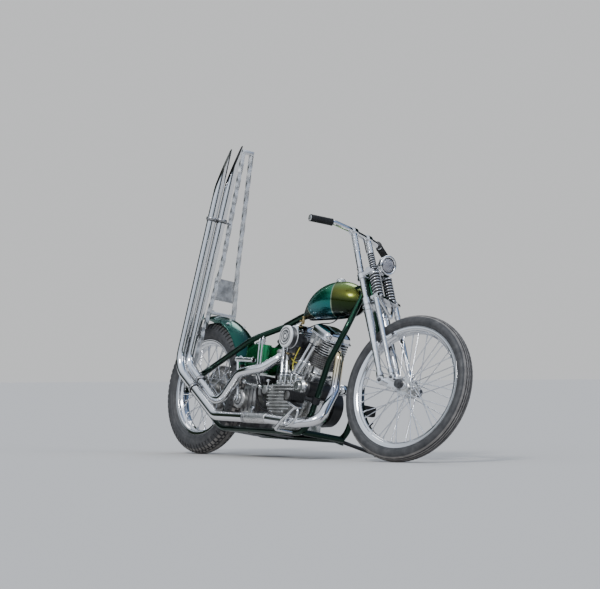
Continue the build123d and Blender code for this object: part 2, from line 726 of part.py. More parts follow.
# Gearbox, its round end cover, and the kick starter
with BuildPart() as gearbox:
    with BuildSketch(Plane(origin=(GEARBOX_X - 20, 60, GEARBOX_Z), x_dir=(1, 0, 0), z_dir=(0, -1, 0))):
        RectangleRounded(136, 150, 30)
    extrude(amount=130)
    across(GEARBOX_X - 66, GEARBOX_Z + 2, -104, -40, 44)
    across(GEARBOX_X, GEARBOX_Z, 50, PRIMARY_Y, 22)
keep(gearbox, "gearbox")

with BuildPart() as kick_starter:
    kick = (GEARBOX_X - 66, GEARBOX_Z + 2)
    across(kick[0], kick[1], -122, -104, 16)
    rod((kick[0], -113, kick[1]), (394, -112, 458), 8)
    rod((384, -112, 456), (530, -112, 451), 12)
keep(kick_starter, "kick_starter")

# Primary drive cover on the left
with BuildPart() as primary_cover:
    with BuildSketch(Plane(origin=(0, PRIMARY_Y + 54, 0), x_dir=(1, 0, 0), z_dir=(0, -1, 0))) as primary_outline:
        with Locations((CRANK_X, CRANK_Z)):
            Circle(92)
        with Locations((GEARBOX_X, GEARBOX_Z)):
            Circle(108)
        make_hull()
    extrude(amount=54)
keep(primary_cover, "primary_cover")

DOWN_HIGH = Vector(1147, 0, 436)
DOWN_LOW = Vector(1035, 0, RAIL_Z)
PEG = (1044, 260)
with BuildPart() as footpegs:
    along = (DOWN_HIGH - DOWN_LOW).normalized()
    clamp = DOWN_LOW + along * 160
    for side in (-1, 1):
        tube_mid = Vector(clamp.X, side * RAIL_Y, clamp.Z)
        rod(tube_mid - along * 16, tube_mid + along * 16, TUBE + 6)
        rod(tube_mid, (PEG[0], side * 172, PEG[1]), 9)
        across(PEG[0], PEG[1], side * 168, side * 250, 25)
        rod(tube_mid - along * 30, tube_mid + along * 30, TUBE, mode=Mode.SUBTRACT)
keep(footpegs, "footpegs")

with BuildPart() as brake_pedal:
    tube([(950, -RAIL_Y - TUBE, 104), (950, -228, 104), (1000, -228, 150), (1092, -226, 214)], 7, [16, 40])
keep(brake_pedal, "brake_pedal")

# Side stand: a bent leg on the left that ends in a foot on the ground
with BuildPart() as side_stand:
    tube([stand_pivot, (976, 174, 98), ankle], 9, [24])
    rod(stand_pivot - stand_turn * EYE_HALF, stand_pivot + stand_turn * EYE_HALF, 11)
    rod(stand_pivot - stand_turn * 30, stand_pivot + stand_turn * 30, PIN_RADIUS + PIN_GAP, mode=Mode.SUBTRACT)
    with Locations(foot_ground):
        Cylinder(20, 6, align=(Align.CENTER, Align.CENTER, Align.MIN))
keep(side_stand, "side_stand")

# Springer fork, in the fork's own frame
with BuildPart() as fork_crowns:
    rod((0, 0, LOWER_CROWN_Z - 11), (0, 0, TOP_TREE_Z + 18), STEM_RADIUS)
    block((-20, 20), (-LEG_Y_TOP - 6, LEG_Y_TOP + 6), (LOWER_CROWN_Z - 11, NECK_BOTTOM - CROWN_GAP))
    block((-20, 20), (-LEG_Y_TOP - 6, LEG_Y_TOP + 6), (NECK_TOP + CROWN_GAP, TOP_TREE_Z + 8))
    block((15, SPRING_LEG_X + 12), (-SPRING_Y - 22, SPRING_Y + 22), (NECK_TOP + 5, TOP_TREE_Z + 5))
    for side in (-1, 1):
        rod((0, side * LEG_Y_TOP, LOWER_CROWN_Z - 24), (0, side * LEG_Y_TOP, LOWER_CROWN_Z + 18), 22)
        rod((0, side * LEG_Y_TOP, NECK_TOP + CROWN_GAP), (0, side * LEG_Y_TOP, TOP_TREE_Z + 10), 20)
        rod((0, side * LEG_Y_TOP, 700), (0, side * LEG_Y_TOP, 1000), 14, mode=Mode.SUBTRACT)
        rod((SPRING_LEG_X, side * SPRING_Y, 900), (SPRING_LEG_X, side * SPRING_Y, 1000), 7.5, mode=Mode.SUBTRACT)
keep(fork_crowns, "fork_crowns", fork=True)

with BuildPart() as fork_rear_legs:
    for side in (-1, 1):
        rod((0, side * LEG_Y_LOW, REAR_PIVOT_Z), (0, side * LEG_Y_TOP, LOWER_CROWN_Z - 16), 10.5, 22)
        block(
            (-40, 40), (side * LEG_Y_TOP - 40, side * LEG_Y_TOP + 40), (LOWER_CROWN_Z - 24, LOWER_CROWN_Z),
            mode=Mode.SUBTRACT,
        )
        rod((0, side * LEG_Y_TOP, LOWER_CROWN_Z - 24), (0, side * LEG_Y_TOP, TOP_TREE_Z + 10), 14)
        across(0, REAR_PIVOT_Z, side * (ROCKER_Y + ROCKER_WIDTH), side * (LEG_Y_LOW + 12), 14)
keep(fork_rear_legs, "fork_rear_legs", fork=True)

with BuildPart() as fork_front_legs:
    for side in (-1, 1):
        rod((SPRING_LEG_X, side * LEG_Y_LOW, SPRING_PIVOT_Z), (SPRING_LEG_X, side * LEG_Y_LOW, PERCH_Z), 9.5, 13)
        across(SPRING_LEG_X, SPRING_PIVOT_Z, side * (ROCKER_Y + ROCKER_WIDTH), side * (LEG_Y_LOW + 12), 11)
        rod((SPRING_LEG_X, side * SPRING_Y, PERCH_Z), (SPRING_LEG_X, side * SPRING_Y, 1054), 6)
    block((SPRING_LEG_X - 20, SPRING_LEG_X + 20), (-LEG_Y_LOW - 14, LEG_Y_LOW + 14), (PERCH_Z - 8, PERCH_Z + 4))
keep(fork_front_legs, "fork_front_legs", fork=True)


def spring(y, low, high, radius, wire, coils):
    """A coil spring as one turned solid with a groove between its coils."""
    step = (high - low) / coils
    points = [(radius - wire, low)]
    for k in range(coils):
        points.append((radius, low + (k + 0.3) * step))
        points.append((radius, low + (k + 0.7) * step))
        points.append((radius - wire, low + (k + 1) * step))
    points += [(7, high), (7, low)]
    with BuildSketch(Plane(origin=(SPRING_LEG_X, y, 0), x_dir=(1, 0, 0), z_dir=(0, -1, 0))) as outline:
        with BuildLine():
            Polyline(*points, close=True)
        make_face()
    revolve(outline.sketch, axis=Axis((SPRING_LEG_X, y, 0), (0, 0, 1)))


with BuildPart() as fork_springs:
    for side in (-1, 1):
        spring(side * SPRING_Y, PERCH_Z + 4, NECK_TOP + 5, 24, 5, 9)
        spring(side * SPRING_Y, TOP_TREE_Z + 5, 1046, 15, 4, 9)
keep(fork_springs, "fork_springs", fork=True)

with BuildPart() as fork_rockers:
    for side in (-1, 1):
        inner, outer = sorted((side * ROCKER_Y, side * (ROCKER_Y + ROCKER_WIDTH)))
        with BuildSketch(Plane(origin=(0, outer, 0), x_dir=(1, 0, 0), z_dir=(0, -1, 0))) as rocker:
            with Locations((0, REAR_PIVOT_Z)):
                Circle(17)
            with Locations((axle_x, axle_z)):
                Circle(19)
            with Locations((SPRING_LEG_X, SPRING_PIVOT_Z)):
                Circle(15)
            make_hull()
        extrude(amount=ROCKER_WIDTH)
        across(axle_x, axle_z, inner, outer, AXLE_RADIUS, mode=Mode.SUBTRACT)
keep(fork_rockers, "fork_rockers", fork=True)

with BuildPart() as front_axle:
    end = ROCKER_Y + ROCKER_WIDTH
    across(axle_x, axle_z, -end - 18, end + 18, AXLE_RADIUS)
    for side in (-1, 1):
        with BuildSketch(Plane(origin=(axle_x, side * end, axle_z), z_dir=(0, side, 0))):
            RegularPolygon(15, 6)
        extrude(amount=13)
keep(front_axle, "front_axle", fork=True)

with BuildPart() as risers:
    for side in (-1, 1):
        rod((0, side * LEG_Y_TOP, TOP_TREE_Z + 10), (0, side * RISER_Y_TOP, RISER_TOP), 14)
        across(0, RISER_TOP, side * RISER_Y_TOP - 13, side * RISER_Y_TOP + 13, 20)
        across(0, RISER_TOP, side * RISER_Y_TOP - 20, side * RISER_Y_TOP + 20, BAR_RADIUS, mode=Mode.SUBTRACT)
        block((-40, 40), (side * LEG_Y_TOP - 40, side * LEG_Y_TOP + 40), (TOP_TREE_Z, TOP_TREE_Z + 10),
              mode=Mode.SUBTRACT)
keep(risers, "risers", fork=True)

BAR = [(-66, 296, 17), (-20, 170, 15), (0, 96, 0)]  # back, out, up from the clamp
BAR_MIDDLE = 70
with BuildPart() as handlebar:
    across(0, RISER_TOP, -BAR_MIDDLE, BAR_MIDDLE, BAR_RADIUS)
    for side in (-1, 1):
        outward = [(0, side * BAR_MIDDLE, RISER_TOP)]
        outward += [(x, side * y, RISER_TOP + z) for x, y, z in reversed(BAR)]
        tube(outward, BAR_RADIUS, [60, 60])
keep(handlebar, "handlebar", fork=True)

with BuildPart() as grips:
    for side in (-1, 1):
        a = Vector(BAR[0][0], side * BAR[0][1], RISER_TOP + BAR[0][2])
        b = Vector(BAR[1][0], side * BAR[1][1], RISER_TOP + BAR[1][2])
        way = (b - a).normalized()
        rod((a - way * 4), (a + way * 118), 16.5)
        rod(a, (a + way * 118), BAR_RADIUS, mode=Mode.SUBTRACT)
keep(grips, "grips", fork=True)

# Headlight, facing level ahead of the springs and turned a little to the right
LAMP = Vector(112, 0, 973)
LAMP_RADIUS = 45
LAMP_TURN = math.radians(12)
ahead = Vector(
    math.cos(rake) * math.cos(LAMP_TURN), -math.sin(LAMP_TURN), -math.sin(rake) * math.cos(LAMP_TURN)
)
with BuildPart() as headlight:
    rod(LAMP - ahead * 48, LAMP - ahead * 30, 15, 32)
    rod(LAMP - ahead * 30, LAMP - ahead * 14, 32, LAMP_RADIUS - 4)
    rod(LAMP - ahead * 14, LAMP, LAMP_RADIUS - 4, LAMP_RADIUS)
    rod((SPRING_LEG_X, 0, TOP_TREE_Z + 5), (SPRING_LEG_X, 0, TOP_TREE_Z + 50), 8)
    rod((LAMP - ahead * 6), (LAMP + ahead * 1), LAMP_RADIUS - 5, mode=Mode.SUBTRACT)
keep(headlight, "headlight", fork=True)

with BuildPart() as headlight_lens:
    rod((LAMP - ahead * 6), (LAMP - ahead * 1), LAMP_RADIUS - 5)
keep(headlight_lens, "headlight_lens", fork=True)

# Export, with the origin at the middle of the whole box's foot
boxes = [piece.bounding_box() for piece in pieces.values()]
middle = Vector(
    (min(b.min.X for b in boxes) + max(b.max.X for b in boxes)) / 2,
    (min(b.min.Y for b in boxes) + max(b.max.Y for b in boxes)) / 2,
    min(b.min.Z for b in boxes),
)
centred = Location(middle * -1)
os.makedirs("parts", exist_ok=True)
for label, piece in pieces.items():
    placed = piece.moved(centred)
    placed.label = label
    export_step(placed, f"parts/{label}.step")

joint_places = [
    ("rear_wheel", parked, rear_centre, (0, 1, 0)),
    ("front_wheel", parked * steered, front_centre, (0, 1, 0)),
    ("steering", parked * steered, (0, 0, NECK_BOTTOM), (0, 0, 1)),
    ("side_stand", parked, stand_pivot, stand_turn),
    ("plate_face", parked, (14, 0, 800), (-1, 0, 0)),
]
for name, place, point, axis in joint_places:
    home = centred * place
    at = (home * Location(point)).position
    tip = (home * Location(tuple(p + a for p, a in zip(point, axis)))).position
    print(name, [round(v / 1000, 6) for v in at], [round(v, 6) for v in (tip - at)])
swing = math.degrees(math.acos((ankle - stand_pivot).normalized().dot(folded_leg.normalized())))
print("side_stand swing", round(swing, 1))
print("pitch", round(PITCH, 4), "middle", [round(v, 2) for v in middle])
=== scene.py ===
import json
import math

import bmesh
import bpy
import numpy as np
from mathutils import Matrix, Vector


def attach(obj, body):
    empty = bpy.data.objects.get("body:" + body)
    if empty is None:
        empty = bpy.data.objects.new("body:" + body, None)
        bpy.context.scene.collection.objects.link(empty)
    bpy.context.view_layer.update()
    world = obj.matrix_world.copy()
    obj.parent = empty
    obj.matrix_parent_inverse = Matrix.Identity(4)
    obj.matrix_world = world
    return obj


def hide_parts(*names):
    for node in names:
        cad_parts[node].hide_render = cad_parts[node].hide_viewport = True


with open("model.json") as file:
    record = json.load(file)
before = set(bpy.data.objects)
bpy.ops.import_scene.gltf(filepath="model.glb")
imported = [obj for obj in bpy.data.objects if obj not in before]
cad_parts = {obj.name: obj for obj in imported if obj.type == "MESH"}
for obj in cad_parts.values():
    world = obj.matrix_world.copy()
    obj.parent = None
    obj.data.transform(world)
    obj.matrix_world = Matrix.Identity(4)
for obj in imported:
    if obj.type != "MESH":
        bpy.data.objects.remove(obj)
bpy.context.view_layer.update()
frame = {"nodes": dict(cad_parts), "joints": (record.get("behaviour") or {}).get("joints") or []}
nodes = frame["nodes"]
joints = {j["name"]: j for j in frame["joints"]}

# The stance, as in the part's source: millimetres and degrees
WHEELBASE = 1584
TRAIL = 82
RAKE = 28
STEER_REST = 15.5
LEAN = 9.8
PITCH = 0.113
REAR_RADIUS = 332
FRONT_RADIUS = 340
MM = 0.001
UP = Vector((0, 0, 1))
AHEAD = Vector((1, 0, 0))
LEFT = Vector((0, 1, 0))
RIGHT = -LEFT


def turn(degrees, axis):
    """A rotation matrix about one axis."""
    return Matrix.Rotation(math.radians(degrees), 4, axis)


def ray(degrees):
    """The cosine and sine of an angle."""
    return math.cos(math.radians(degrees)), math.sin(math.radians(degrees))


def placed(name, data):
    """A new object in the scene."""
    made = bpy.data.objects.new(name, data)
    bpy.context.scene.collection.objects.link(made)
    return made


rear_axle = Vector(joints["rear_wheel_spin"]["pos_m"])
tilted = turn(-LEAN, "X") @ turn(PITCH, "Y")
machine = Matrix.Translation(rear_axle) @ tilted @ Matrix.Translation((0, 0, -REAR_RADIUS * MM))
fork_axes = turn(-RAKE, "Y")
forked = machine @ Matrix.Translation(((WHEELBASE + TRAIL) * MM, 0, 0)) @ fork_axes @ turn(STEER_REST, "Z")
cos_rake, sin_rake = ray(RAKE)
AXLE_X = -TRAIL * cos_rake + FRONT_RADIUS * sin_rake
AXLE_Z = TRAIL * sin_rake + FRONT_RADIUS * cos_rake

# Camera: where the photograph was taken from, found from both tyres and rims
CAMERA_AZIMUTH = 54.9
CAMERA_DISTANCE = 10.896
CAMERA_HEIGHT = 0.3696
CAMERA_AIM = 0.7
CAMERA_YAW = 0.512
CAMERA_PITCH = 2.12
CAMERA_ROLL = -0.29
PHOTO_WIDTH = 600
FOCAL_PIXELS = 2290


def swung(first, second, degrees):
    """Two square directions, both turned in their own plane."""
    c, s = ray(degrees)
    return first * c + second * s, second * c - first * s


cos_azimuth, sin_azimuth = ray(CAMERA_AZIMUTH)
back = Vector((sin_azimuth, -cos_azimuth, 0))
looking, right = swung(-back, Vector((cos_azimuth, sin_azimuth, 0)), CAMERA_YAW)
looking, up = swung(looking, UP, CAMERA_PITCH)
right, up = swung(right, up, CAMERA_ROLL)
lens = bpy.data.cameras.new("camera")
lens.sensor_width = 36
lens.sensor_fit = "HORIZONTAL"
lens.lens = FOCAL_PIXELS / PHOTO_WIDTH * lens.sensor_width
lens.clip_end = 1000
camera = placed("camera", lens)
wheel_on_floor = Vector((rear_axle.x, rear_axle.y - tilted[1][2] * REAR_RADIUS * MM, 0))
spot = wheel_on_floor + AHEAD * CAMERA_AIM + back * CAMERA_DISTANCE + UP * CAMERA_HEIGHT
camera.matrix_world = Matrix.Translation(spot) @ Matrix((right, up, -looking)).transposed().to_4x4()
bpy.context.scene.camera = camera


# Materials
class Nodes:
    """A short way to write a node tree: an input takes a constant or another node's output."""

    def __init__(self, owner, shader="Principled BSDF", **constants):
        owner.use_nodes = True
        self.owner = owner
        self.tree = owner.node_tree
        self.shader = self.tree.nodes[shader]
        self.put(self.shader, **constants)

    def put(self, node, **values):
        """Properties and inputs by name; _0 and _1 are inputs by number."""
        for key, value in values.items():
            if key in node.bl_rna.properties:
                setattr(node, key, value)
                continue
            name = key.replace("_", " ").strip()
            socket = node.inputs[int(name) if name.isdigit() else name]
            if isinstance(value, bpy.types.NodeSocket):
                self.tree.links.new(value, socket)
            else:
                socket.default_value = value

    def node(self, kind, out=0, **values):
        """A new node's output."""
        made = self.tree.nodes.new("ShaderNode" + kind)
        self.put(made, **values)
        return made.outputs[out]

    def place(self):
        return self.node("TexCoord", "Object")

    def along(self, direction, space="Object"):
        """How far a point lies in a direction."""
        at = self.node("TexCoord", space)
        return self.node("VectorMath", "Value", operation="DOT_PRODUCT", _0=at, _1=direction)

    def noise(self, scale, detail, rough=0.5):
        return self.node("TexNoise", "Fac", Scale=scale, Detail=detail, Roughness=rough, Vector=self.place())

    def spread(self, source, low, high, to_low=0.0, to_high=1.0):
        """A value's span from low to high, stretched to another span."""
        return self.node("MapRange", "Result", Value=source, From_Min=low, From_Max=high, To_Min=to_low,
                         To_Max=to_high)

    def ramp(self, source, *stops):
        """A colour ramp over a factor: (position, colour) stops."""
        made = self.tree.nodes.new("ShaderNodeValToRGB")
        self.put(made, Fac=source)
        band = made.color_ramp
        while len(band.elements) < len(stops):
            band.elements.new(0.5)
        for element, (position, colour) in zip(band.elements, stops):
            element.position = position
            element.color = (*colour, 1)
        return made.outputs["Color"]

    def mixed(self, share, first, second, blend="MIX"):
        return self.node("MixRGB", "Color", blend_type=blend, Fac=share, Color1=first, Color2=second)

    def base(self, source):
        self.put(self.shader, Base_Color=source)

    def rough(self, source, low, high):
        self.put(self.shader, Roughness=self.spread(source, 0.3, 0.7, low, high))

    def bump(self, source, strength, distance):
        self.put(self.shader, Normal=self.node("Bump", "Normal", Strength=strength, Distance=distance,
                                               Height=source))

    def flaked(self, paint, dark, bright):
        """Paint over metal flake."""
        cells = self.node("TexVoronoi", "Color", Scale=900.0, Vector=self.place())
        speck = self.ramp(cells, (0.0, (dark,) * 3), (1.0, (bright,) * 3))
        self.base(self.mixed(1.0, paint, speck, "MULTIPLY"))


def material(name, **constants):
    return Nodes(bpy.data.materials.new(name), **constants)


def mottled(name, grain, stops, gloss_grain=None, gloss=None, relief_grain=None, relief=None, **constants):
    """A surface whose colour, gloss and fine relief each follow a noise of their own."""
    m = material(name, **constants)
    m.base(m.ramp(m.noise(*grain), *stops))
    if gloss:
        m.rough(m.noise(*gloss_grain), *gloss)
    if relief:
        m.bump(m.noise(*relief_grain), *relief)
    return m.owner


def tinted(colour, share):
    return tuple(c * share for c in colour)


def chrome(name, tint, low, high):
    stops = ((0.3, tinted(tint, 0.93)), (0.7, tint))
    return mottled(name, (9, 4), stops, (35, 4), (low, high), (14, 2), (0.05, 0.002), Metallic=1.0)


def metal(name, dark, light, low, high, bump=0.25):
    """Cast or machined metal with random patches of grime."""
    stops = ((0.28, dark), (0.6, light))
    return mottled(name, (22, 6, 0.65), stops, (40, 4), (low, high), (90, 5, 0.6), (bump, 0.0012),
                   Metallic=0.92)


def black(name, colour, low, high, bump=0.1):
    stops = ((0.35, colour), (0.7, tinted(colour, 2.2)))
    return mottled(name, (30, 5), stops, (45, 4), (low, high), (140, 3), (bump, 0.0008))


def tyre_look(name, *shades):
    """Tyre rubber, patchy with road dust."""
    return mottled(name, (26, 6, 0.65), tuple(zip((0.3, 0.52, 0.75), shades)), (45, 4), (0.45, 0.7), (220, 4),
                   (0.25, 0.0006))


def smooth(name, colour, roughness, metallic=0.0):
    """A smooth coloured surface."""
    stops = ((0.3, tinted(colour, 0.85)), (0.7, colour))
    return mottled(name, (30, 3), stops, Roughness=roughness, Metallic=metallic, Coat_Weight=0.4)


def toplit_candy(name, deep, bright, low=0.4, high=0.9):
    """Candy paint: flake under a clear coat, deep at the bottom and brighter upwards: painted light from
    above and painted shade below.
    """
    m = material(name, Metallic=0.9, Coat_Weight=0.5, Coat_Roughness=0.03, Coat_IOR=1.4)
    # Painted light: the colour brightens with height, as if lit from above.
    m.flaked(m.ramp(m.spread(m.along((0, 0, 1)), low, high), (0.0, deep), (1.0, bright)), 0.78, 1.25)
    m.rough(m.noise(60, 2), 0.16, 0.22)
    return m.owner


def pipe_chrome(name):
    """Chrome that heat has turned gold and blue near the front cylinder's port."""
    m = material(name, Metallic=1.0)
    port = machine @ (Vector((1050, -20, 500)) * MM)
    away = m.node("VectorMath", "Value", operation="DISTANCE", _0=m.place(), _1=port)
    wobble = m.spread(m.noise(14, 3), 0.0, 1.0, -0.03, 0.03)
    m.base(m.ramp(m.node("Math", operation="ADD", _0=away, _1=wobble),
                  (0.0, (0.62, 0.50, 0.30)), (0.05, (0.78, 0.62, 0.36)), (0.12, (0.85, 0.74, 0.52)),
                  (0.19, (0.60, 0.62, 0.74)), (0.28, (0.84, 0.84, 0.86)), (1.0, (0.84, 0.845, 0.86))))
    m.rough(m.noise(35, 4), 0.05, 0.12)
    m.bump(m.noise(14, 2), 0.04, 0.002)
    return m.owner


# The tank's line is part of a squashed circle, in metres in the machine's frame
LINE_X = 0.952
LINE_Z = 0.745
LINE_SQUASH = 0.94
LINE_RADIUS = 0.112


def tank_look(name):
    """Candy panels: teal to green behind the line, gold-green to black ahead of it, and the line itself. The
    hue changes are the paint's own; the darkening towards the bottom and brightening towards the top are
    painted shade and painted highlight.
    """
    m = material(name, Metallic=0.9, Coat_Weight=0.35, Coat_Roughness=0.03, Coat_IOR=1.4)
    inverse = machine.inverted()
    x_at, z_at = (m.node("Math", operation="ADD", _0=m.along(row[:3]), _1=row[3])
                  for row in (inverse[0], inverse[2]))
    flat = m.node("CombineXYZ", X=x_at, Y=z_at)
    squashed = m.node("VectorMath", operation="MULTIPLY", _0=flat, _1=(1.0, LINE_SQUASH, 0))
    away = m.node("VectorMath", "Value", operation="DISTANCE", _0=squashed,
                  _1=(LINE_X, LINE_Z * LINE_SQUASH, 0))
    # Painted light on both panels: lighter along the top as a painted highlight, darker low down as painted
    # shade, over the paint's own tones.
    panel = m.ramp(m.spread(z_at, 0.66, 0.83), (0.0, (0.001, 0.10, 0.13)), (0.35, (0.001, 0.20, 0.19)),
                   (0.7, (0.005, 0.30, 0.15)), (1.0, (0.03, 0.33, 0.14)))
    nose = m.ramp(m.spread(z_at, 0.67, 0.83), (0.0, (0.002, 0.006, 0.004)), (0.35, (0.02, 0.045, 0.008)),
                  (0.7, (0.14, 0.15, 0.018)), (1.0, (0.20, 0.36, 0.06)))
    two = m.mixed(m.spread(away, LINE_RADIUS - 0.0012, LINE_RADIUS + 0.0012), panel, nose)
    off, on = (0, 0, 0), (1, 1, 1)
    line = m.ramp(away, (0.0, off), (LINE_RADIUS - 0.004, off), (LINE_RADIUS - 0.0028, on),
                  (LINE_RADIUS + 0.0002, on), (LINE_RADIUS + 0.0014, off))
    m.flaked(m.mixed(line, two, (0.55, 0.60, 0.42, 1)), 0.72, 1.0)
    m.rough(m.noise(60, 2), 0.2, 0.28)
    return m.owner


def sleeve_look(name):
    """Dimpled sheet over the pipe, each dimple's hollow painted dark as shade."""
    m = material(name, Metallic=0.95, Roughness=0.3)
    dimple_depth_and_shade = m.node("TexVoronoi", "Distance", Scale=170.0, Vector=m.place())
    # Painted shade: the colour darkens towards each dimple's centre, where the bump sinks.
    m.base(m.ramp(dimple_depth_and_shade, (0.0, (0.10, 0.10, 0.10)), (0.28, (0.34, 0.335, 0.33)),
                  (0.5, (0.72, 0.715, 0.70))))
    m.bump(dimple_depth_and_shade, 0.8, 0.002)
    return m.owner


def lens_look(name):
    """Fluted headlight glass over a bright bowl."""
    m = material(name, Metallic=0.75, Coat_Weight=1.0, Coat_Roughness=0.02, Roughness=0.12)
    m.base(m.ramp(m.noise(20, 2), (0.3, (0.30, 0.29, 0.31)), (0.7, (0.46, 0.45, 0.48))))
    flutes = m.node("Math", operation="MULTIPLY", _0=m.along(forked.to_3x3() @ LEFT), _1=1200)
    m.bump(m.node("Math", operation="SINE", _0=flutes), 0.6, 0.0015)
    return m.owner


CHROME = chrome("chrome", (0.84, 0.845, 0.86), 0.05, 0.11)
PIPE_CHROME = pipe_chrome("heated_chrome")
SPOKE_CHROME = chrome("spoke_chrome", (0.74, 0.75, 0.78), 0.10, 0.18)
TWIST = chrome("twisted_chrome", (0.76, 0.76, 0.76), 0.34, 0.42)
COIL = chrome("coil_chrome", (0.70, 0.71, 0.74), 0.16, 0.24)
ALLOY = metal("alloy", (0.20, 0.195, 0.19), (0.60, 0.595, 0.58), 0.28, 0.45)
POLISHED = metal("polished_alloy", (0.48, 0.48, 0.47), (0.78, 0.78, 0.77), 0.14, 0.26, 0.08)
IRON = metal("fin_iron", (0.16, 0.155, 0.15), (0.46, 0.45, 0.44), 0.3, 0.5)
DARK_CAST = metal("dark_casting", (0.04, 0.04, 0.042), (0.15, 0.15, 0.155), 0.35, 0.55)
STEEL = metal("steel", (0.14, 0.13, 0.12), (0.40, 0.39, 0.38), 0.3, 0.45)
BRASS = metal("brass", (0.30, 0.22, 0.10), (0.66, 0.52, 0.26), 0.25, 0.4)
# Sooty inside of the front pipe's tip, also dark as painted shade deep in the pipe.
INSIDE = metal("pipe_inside", (0.05, 0.05, 0.045), (0.16, 0.165, 0.15), 0.3, 0.45)
BARREL = metal("bright_barrel", (0.36, 0.355, 0.35), (0.86, 0.855, 0.84), 0.16, 0.32, 0.15)
CASE_BRIGHT = metal("bright_case", (0.30, 0.30, 0.30), (0.86, 0.86, 0.85), 0.14, 0.3, 0.12)
CASE = metal("case_alloy", (0.10, 0.098, 0.095), (0.42, 0.415, 0.40), 0.3, 0.5)
CLAMP = metal("clamp_steel", (0.18, 0.18, 0.18), (0.42, 0.42, 0.43), 0.22, 0.35)
# Near-black for the lens gasket and the block's plugs, and painted shade between fins, inside springs, under
# clamps and deep in the rear pipe.
NEAR_BLACK_AND_SHADE = black("fin_gap", (0.006, 0.006, 0.006), 0.6, 0.8)
BLACK = black("black_paint", (0.003, 0.003, 0.004), 0.34, 0.5, 0.25)
RUBBER = black("rubber", (0.002, 0.002, 0.0025), 0.6, 0.8, 0.16)
TYRE = tyre_look("tyre_rubber", (0.024, 0.025, 0.028), (0.050, 0.050, 0.052), (0.085, 0.084, 0.084))
# Lighter dusty rubber for the worn crown faces; the groove faces keep the darker rubber, which partly paints
# the shade in the grooves.
DUSTY_TREAD_AND_GROOVE_SHADE = tyre_look("worn_tread_and_groove_shade", (0.10, 0.092, 0.087), (0.18, 0.168, 0.158), (0.27, 0.25, 0.235))
YELLOW = smooth("yellow_wire", (0.58, 0.50, 0.04), 0.42)
PORCELAIN = smooth("porcelain", (0.75, 0.73, 0.68), 0.25)
LAMP_RED = smooth("tail_lamp_red", (0.30, 0.008, 0.006), 0.12)
PLATE = smooth("blank_plate", (0.66, 0.66, 0.63), 0.5)
CARB_GREY = smooth("carburettor_grey", (0.13, 0.135, 0.15), 0.42, 0.35)
SATIN = smooth("satin_cover", (0.93, 0.93, 0.93), 0.3, 0.15)
# The frame, fender and oil tank candies are painted darker low down and lighter up top, as light from above.
FRAME_GREEN = toplit_candy("frame_green", (0.002, 0.022, 0.012), (0.004, 0.042, 0.020))
FENDER_GREEN = toplit_candy("fender_green", (0.001, 0.040, 0.032), (0.002, 0.13, 0.085))
OIL_GREEN = toplit_candy("oil_tank_green", (0.008, 0.12, 0.045), (0.025, 0.34, 0.12), 0.40, 0.56)
TANK_GREEN = tank_look("tank_green")
SLEEVE = sleeve_look("pipe_sleeve")
LENS = lens_look("fluted_lens")

LOOKS = {
    "frame": FRAME_GREEN, "fuel_tank": TANK_GREEN, "rear_fender": FENDER_GREEN, "oil_tank": OIL_GREEN,
    "side_stand": BLACK, "plate_bracket": ALLOY, "rear_tyre": TYRE, "front_tyre": TYRE,
    "rear_sprocket": STEEL,
    "chain": STEEL, "crankcase": CASE_BRIGHT, "cam_cover": POLISHED, "cylinder_heads": ALLOY,
    "gearbox": ALLOY,
    "carburettor": DARK_CAST, "cylinders": IRON, "generator": BLACK, "footpegs": BLACK, "grips": RUBBER,
    "headlight_lens": LENS, "primary_cover": BLACK, "pipe_clamps": CLAMP, "front_exhaust": PIPE_CHROME,
    "rear_exhaust": PIPE_CHROME,
}
for name, node in nodes.items():
    node.data.materials.clear()
    node.data.materials.append(LOOKS.get(name, CHROME))

# Studio: a pale floor, a soft bright sky and a dark green band behind the machine for chrome to mirror
FLOOR_SIZE = 400
floor_mesh = bpy.data.meshes.new("floor")
floor_mesh.from_pydata([(x * FLOOR_SIZE, y * FLOOR_SIZE, 0) for x, y in ((-1, -1), (1, -1), (1, 1), (-1, 1))],
                       [], [(0, 1, 2, 3)])
floor = placed("floor", floor_mesh)
pale = material("floor", Base_Color=(0.58, 0.565, 0.545, 1), Roughness=1.0, Specular_IOR_Level=0.0)
floor.data.materials.append(pale.owner)

sky = Nodes(bpy.data.worlds.new("world"), "Background", Strength=0.9)
bpy.context.scene.world = sky.owner
height = sky.spread(sky.node("SeparateXYZ", "Z", _0=sky.node("TexCoord", "Generated")), -1, 1)


def by_height(*stops):
    """Colours of the surroundings by height: -1 straight down, 1 straight up."""
    return sky.ramp(height, *(((z + 1) / 2, colour) for z, colour in stops))


near = by_height((-1, (0.5, 0.5, 0.5)), (-0.02, (0.40, 0.40, 0.39)), (0.01, (0.03, 0.035, 0.03)),
                 (0.09, (0.06, 0.07, 0.06)), (0.14, (0.60, 0.68, 0.80)), (0.36, (1.05, 1.14, 1.28)),
                 (0.66, (1.2, 1.3, 1.45)), (1, (1.0, 1.1, 1.24)))
far = by_height((-1, (0.4, 0.4, 0.39)), (-0.02, (0.25, 0.25, 0.24)), (0.02, (0.012, 0.018, 0.012)),
                (0.5, (0.02, 0.03, 0.02)), (0.66, (0.6, 0.66, 0.74)), (1, (1.0, 1.1, 1.24)))
behind = sky.spread(sky.along(looking, "Generated"), -0.25, 0.35)
aside = sky.spread(sky.along((looking[1], -looking[0], 0), "Generated"), 0.05, 0.6)
shaded = sky.mixed(aside, sky.mixed(behind, near, far), (0.34, 0.44, 0.62, 1), "MULTIPLY")
sky.put(sky.shader, Color=sky.mixed(sky.node("LightPath", "Is Camera Ray"), shaded, (0.80, 0.81, 0.82, 1)))

